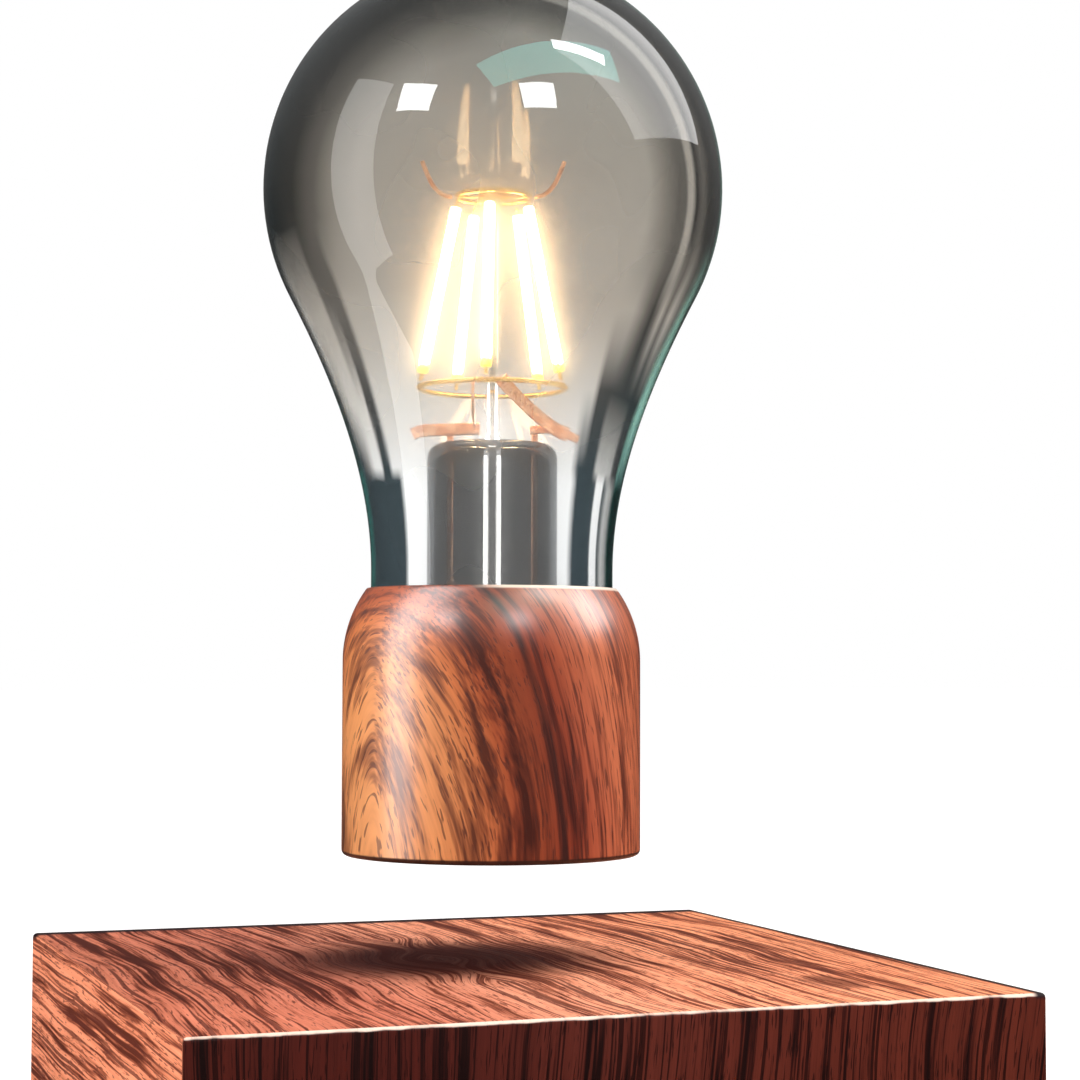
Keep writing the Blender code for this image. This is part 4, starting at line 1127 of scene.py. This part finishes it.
def studioFloor(look):
    deselectAll()
    bpy.ops.mesh.primitive_plane_add(size=12)
    floor = bpy.context.object
    floor.name = "floor"
    nodes, shader = newMaterial("studioFloor")
    nodes.fill(shader, {"Base Color": look["floorColour"], "Roughness": 0.9, "Specular IOR Level": 0.0})
    black = nodes.value("BsdfTransparent", {0: (0, 0, 0, 1)})

    def glowing(share, strength):
        glow = nodes.value("Emission", {"Strength": strength})
        return nodes.value("AddShader", {0: nodes.mixShaders(share, black, shader.outputs[0]), 1: glow})

    above = nodes.mixShaders(seenDirectly(nodes)[0], glowing(look["bounceShare"], look["bounceGlow"]),
                             glowing(look["floorShare"], look["floorGlow"]))
    below = nodes.value("NewGeometry", output="Backfacing")   # from below, the floor lets the feet be seen
    nodes.output(nodes.mixShaders(below, above, nodes.value("BsdfTransparent")))
    floor.data.materials.append(nodes.owner)
    floor.visible_glossy = False


def studioSky(look):
    nodes = Nodes(bpy.data.worlds.new("studio"))
    bpy.context.scene.world = nodes.owner
    height = nodes.apart(nodes.value("TexCoord", output="Generated"))[2]
    seen, reflected = seenDirectly(nodes)
    mirrored = nodes.ease(height, 0.0, 0.7, *look["skyReflect"])
    level = nodes.ease(reflected, 0.0, 1.0, look["skyFill"], mirrored, "LINEAR")
    level = nodes.ease(seen, 0.0, 1.0, level, 1.0, "LINEAR")
    nodes.fill(nodes.tree.nodes["Background"], {"Strength": level, "Color": (1, 1, 1, 1)})


lightTarget = Vector((0, 0, 0.08))


def softLight(name, azimuth, elevation, distance, width, height, brightness, colour=(1, 1, 1), spin=0,
              hideFrom="", only=None):  # azimuth 0 is in front (-Y) and 90 is at the right (+X)
    light = bpy.data.lights.new(name, "AREA")
    light.shape = "RECTANGLE"
    light.size, light.size_y = width, height
    light.energy = brightness * pi * width * height
    light.color = colour
    holder = bpy.data.objects.new(name, light)
    bpy.context.collection.objects.link(holder)
    a, e = radians(azimuth), radians(elevation)
    away = Vector((sin(a) * cos(e), -cos(a) * cos(e), sin(e)))
    aim = away.to_track_quat("Z", "Y").to_matrix().to_4x4() @ turnBy(radians(spin))
    holder.matrix_world = moveBy(*(lightTarget + away * distance)) @ aim
    for ray in ("camera", "transmission", *hideFrom.split()):
        setattr(holder, "visible_" + ray, False)
    if only:
        lit = bpy.data.collections.new(name + "Lights")
        lit.objects.link(bpy.data.objects[only])
        holder.light_linking.receiver_collection = lit


studioFloor(studio)
studioSky(studio)
softLight("leftPanel", -91, 5, 1.0, 0.45, 1.5, 3.0)   # its lower half shows in reflections alone
softLight("leftFill", -110, 35, 1.2, 0.8, 0.8, 1.05, hideFrom="glossy")
softLight("topPanel", 30, 78, 1.0, 0.8, 0.8, 2.0, hideFrom="glossy")
softLight("rightPanel", 80, 45, 1.0, 0.98, 0.88, 3.3)
softLight("squareLeft", -61, 36, 1.2, 0.32, 0.26, 24.0, hideFrom="diffuse")
softLight("squareRight", 5, 37.5, 1.2, 0.31, 0.26, 24.0, hideFrom="diffuse")
softLight("tealStrip", 20, 56, 1.2, 1.3, 0.34, 4.4, (0.24, 1.0, 0.9), hideFrom="diffuse")
softLight("brightStreak", 47, 57, 1.2, 0.42, 0.11, 26.0, spin=-38, hideFrom="diffuse")
softLight("capShineLeft", -94, 32, 1.0, 0.55, 1.9, 12.0, hideFrom="diffuse", only="woodenCap")
softLight("capShineRight", 77, 33, 1.0, 0.45, 0.5, 11.5, hideFrom="diffuse", only="woodenCap")

photoCamera = {
    "place": (-0.102279, -0.294022, 0.064249), "yaw": radians(20.332), "pitch": radians(3.042),
    "roll": radians(0.143), "lens": 79.72,
}


def addCamera(view):
    lens = bpy.data.cameras.new("photoCamera")
    lens.sensor_width = 36
    lens.lens = view["lens"]
    lens.clip_start = 0.01
    camera = bpy.data.objects.new("photoCamera", lens)
    bpy.context.collection.objects.link(camera)
    camera.matrix_world = (moveBy(*view["place"]) @ turnBy(-view["yaw"])
                           @ turnBy(pi / 2 + view["pitch"], "X") @ turnBy(view["roll"]))
    bpy.context.scene.camera = camera


addCamera(photoCamera)
bpy.context.scene.view_settings.view_transform = "Standard"
print("studio done")
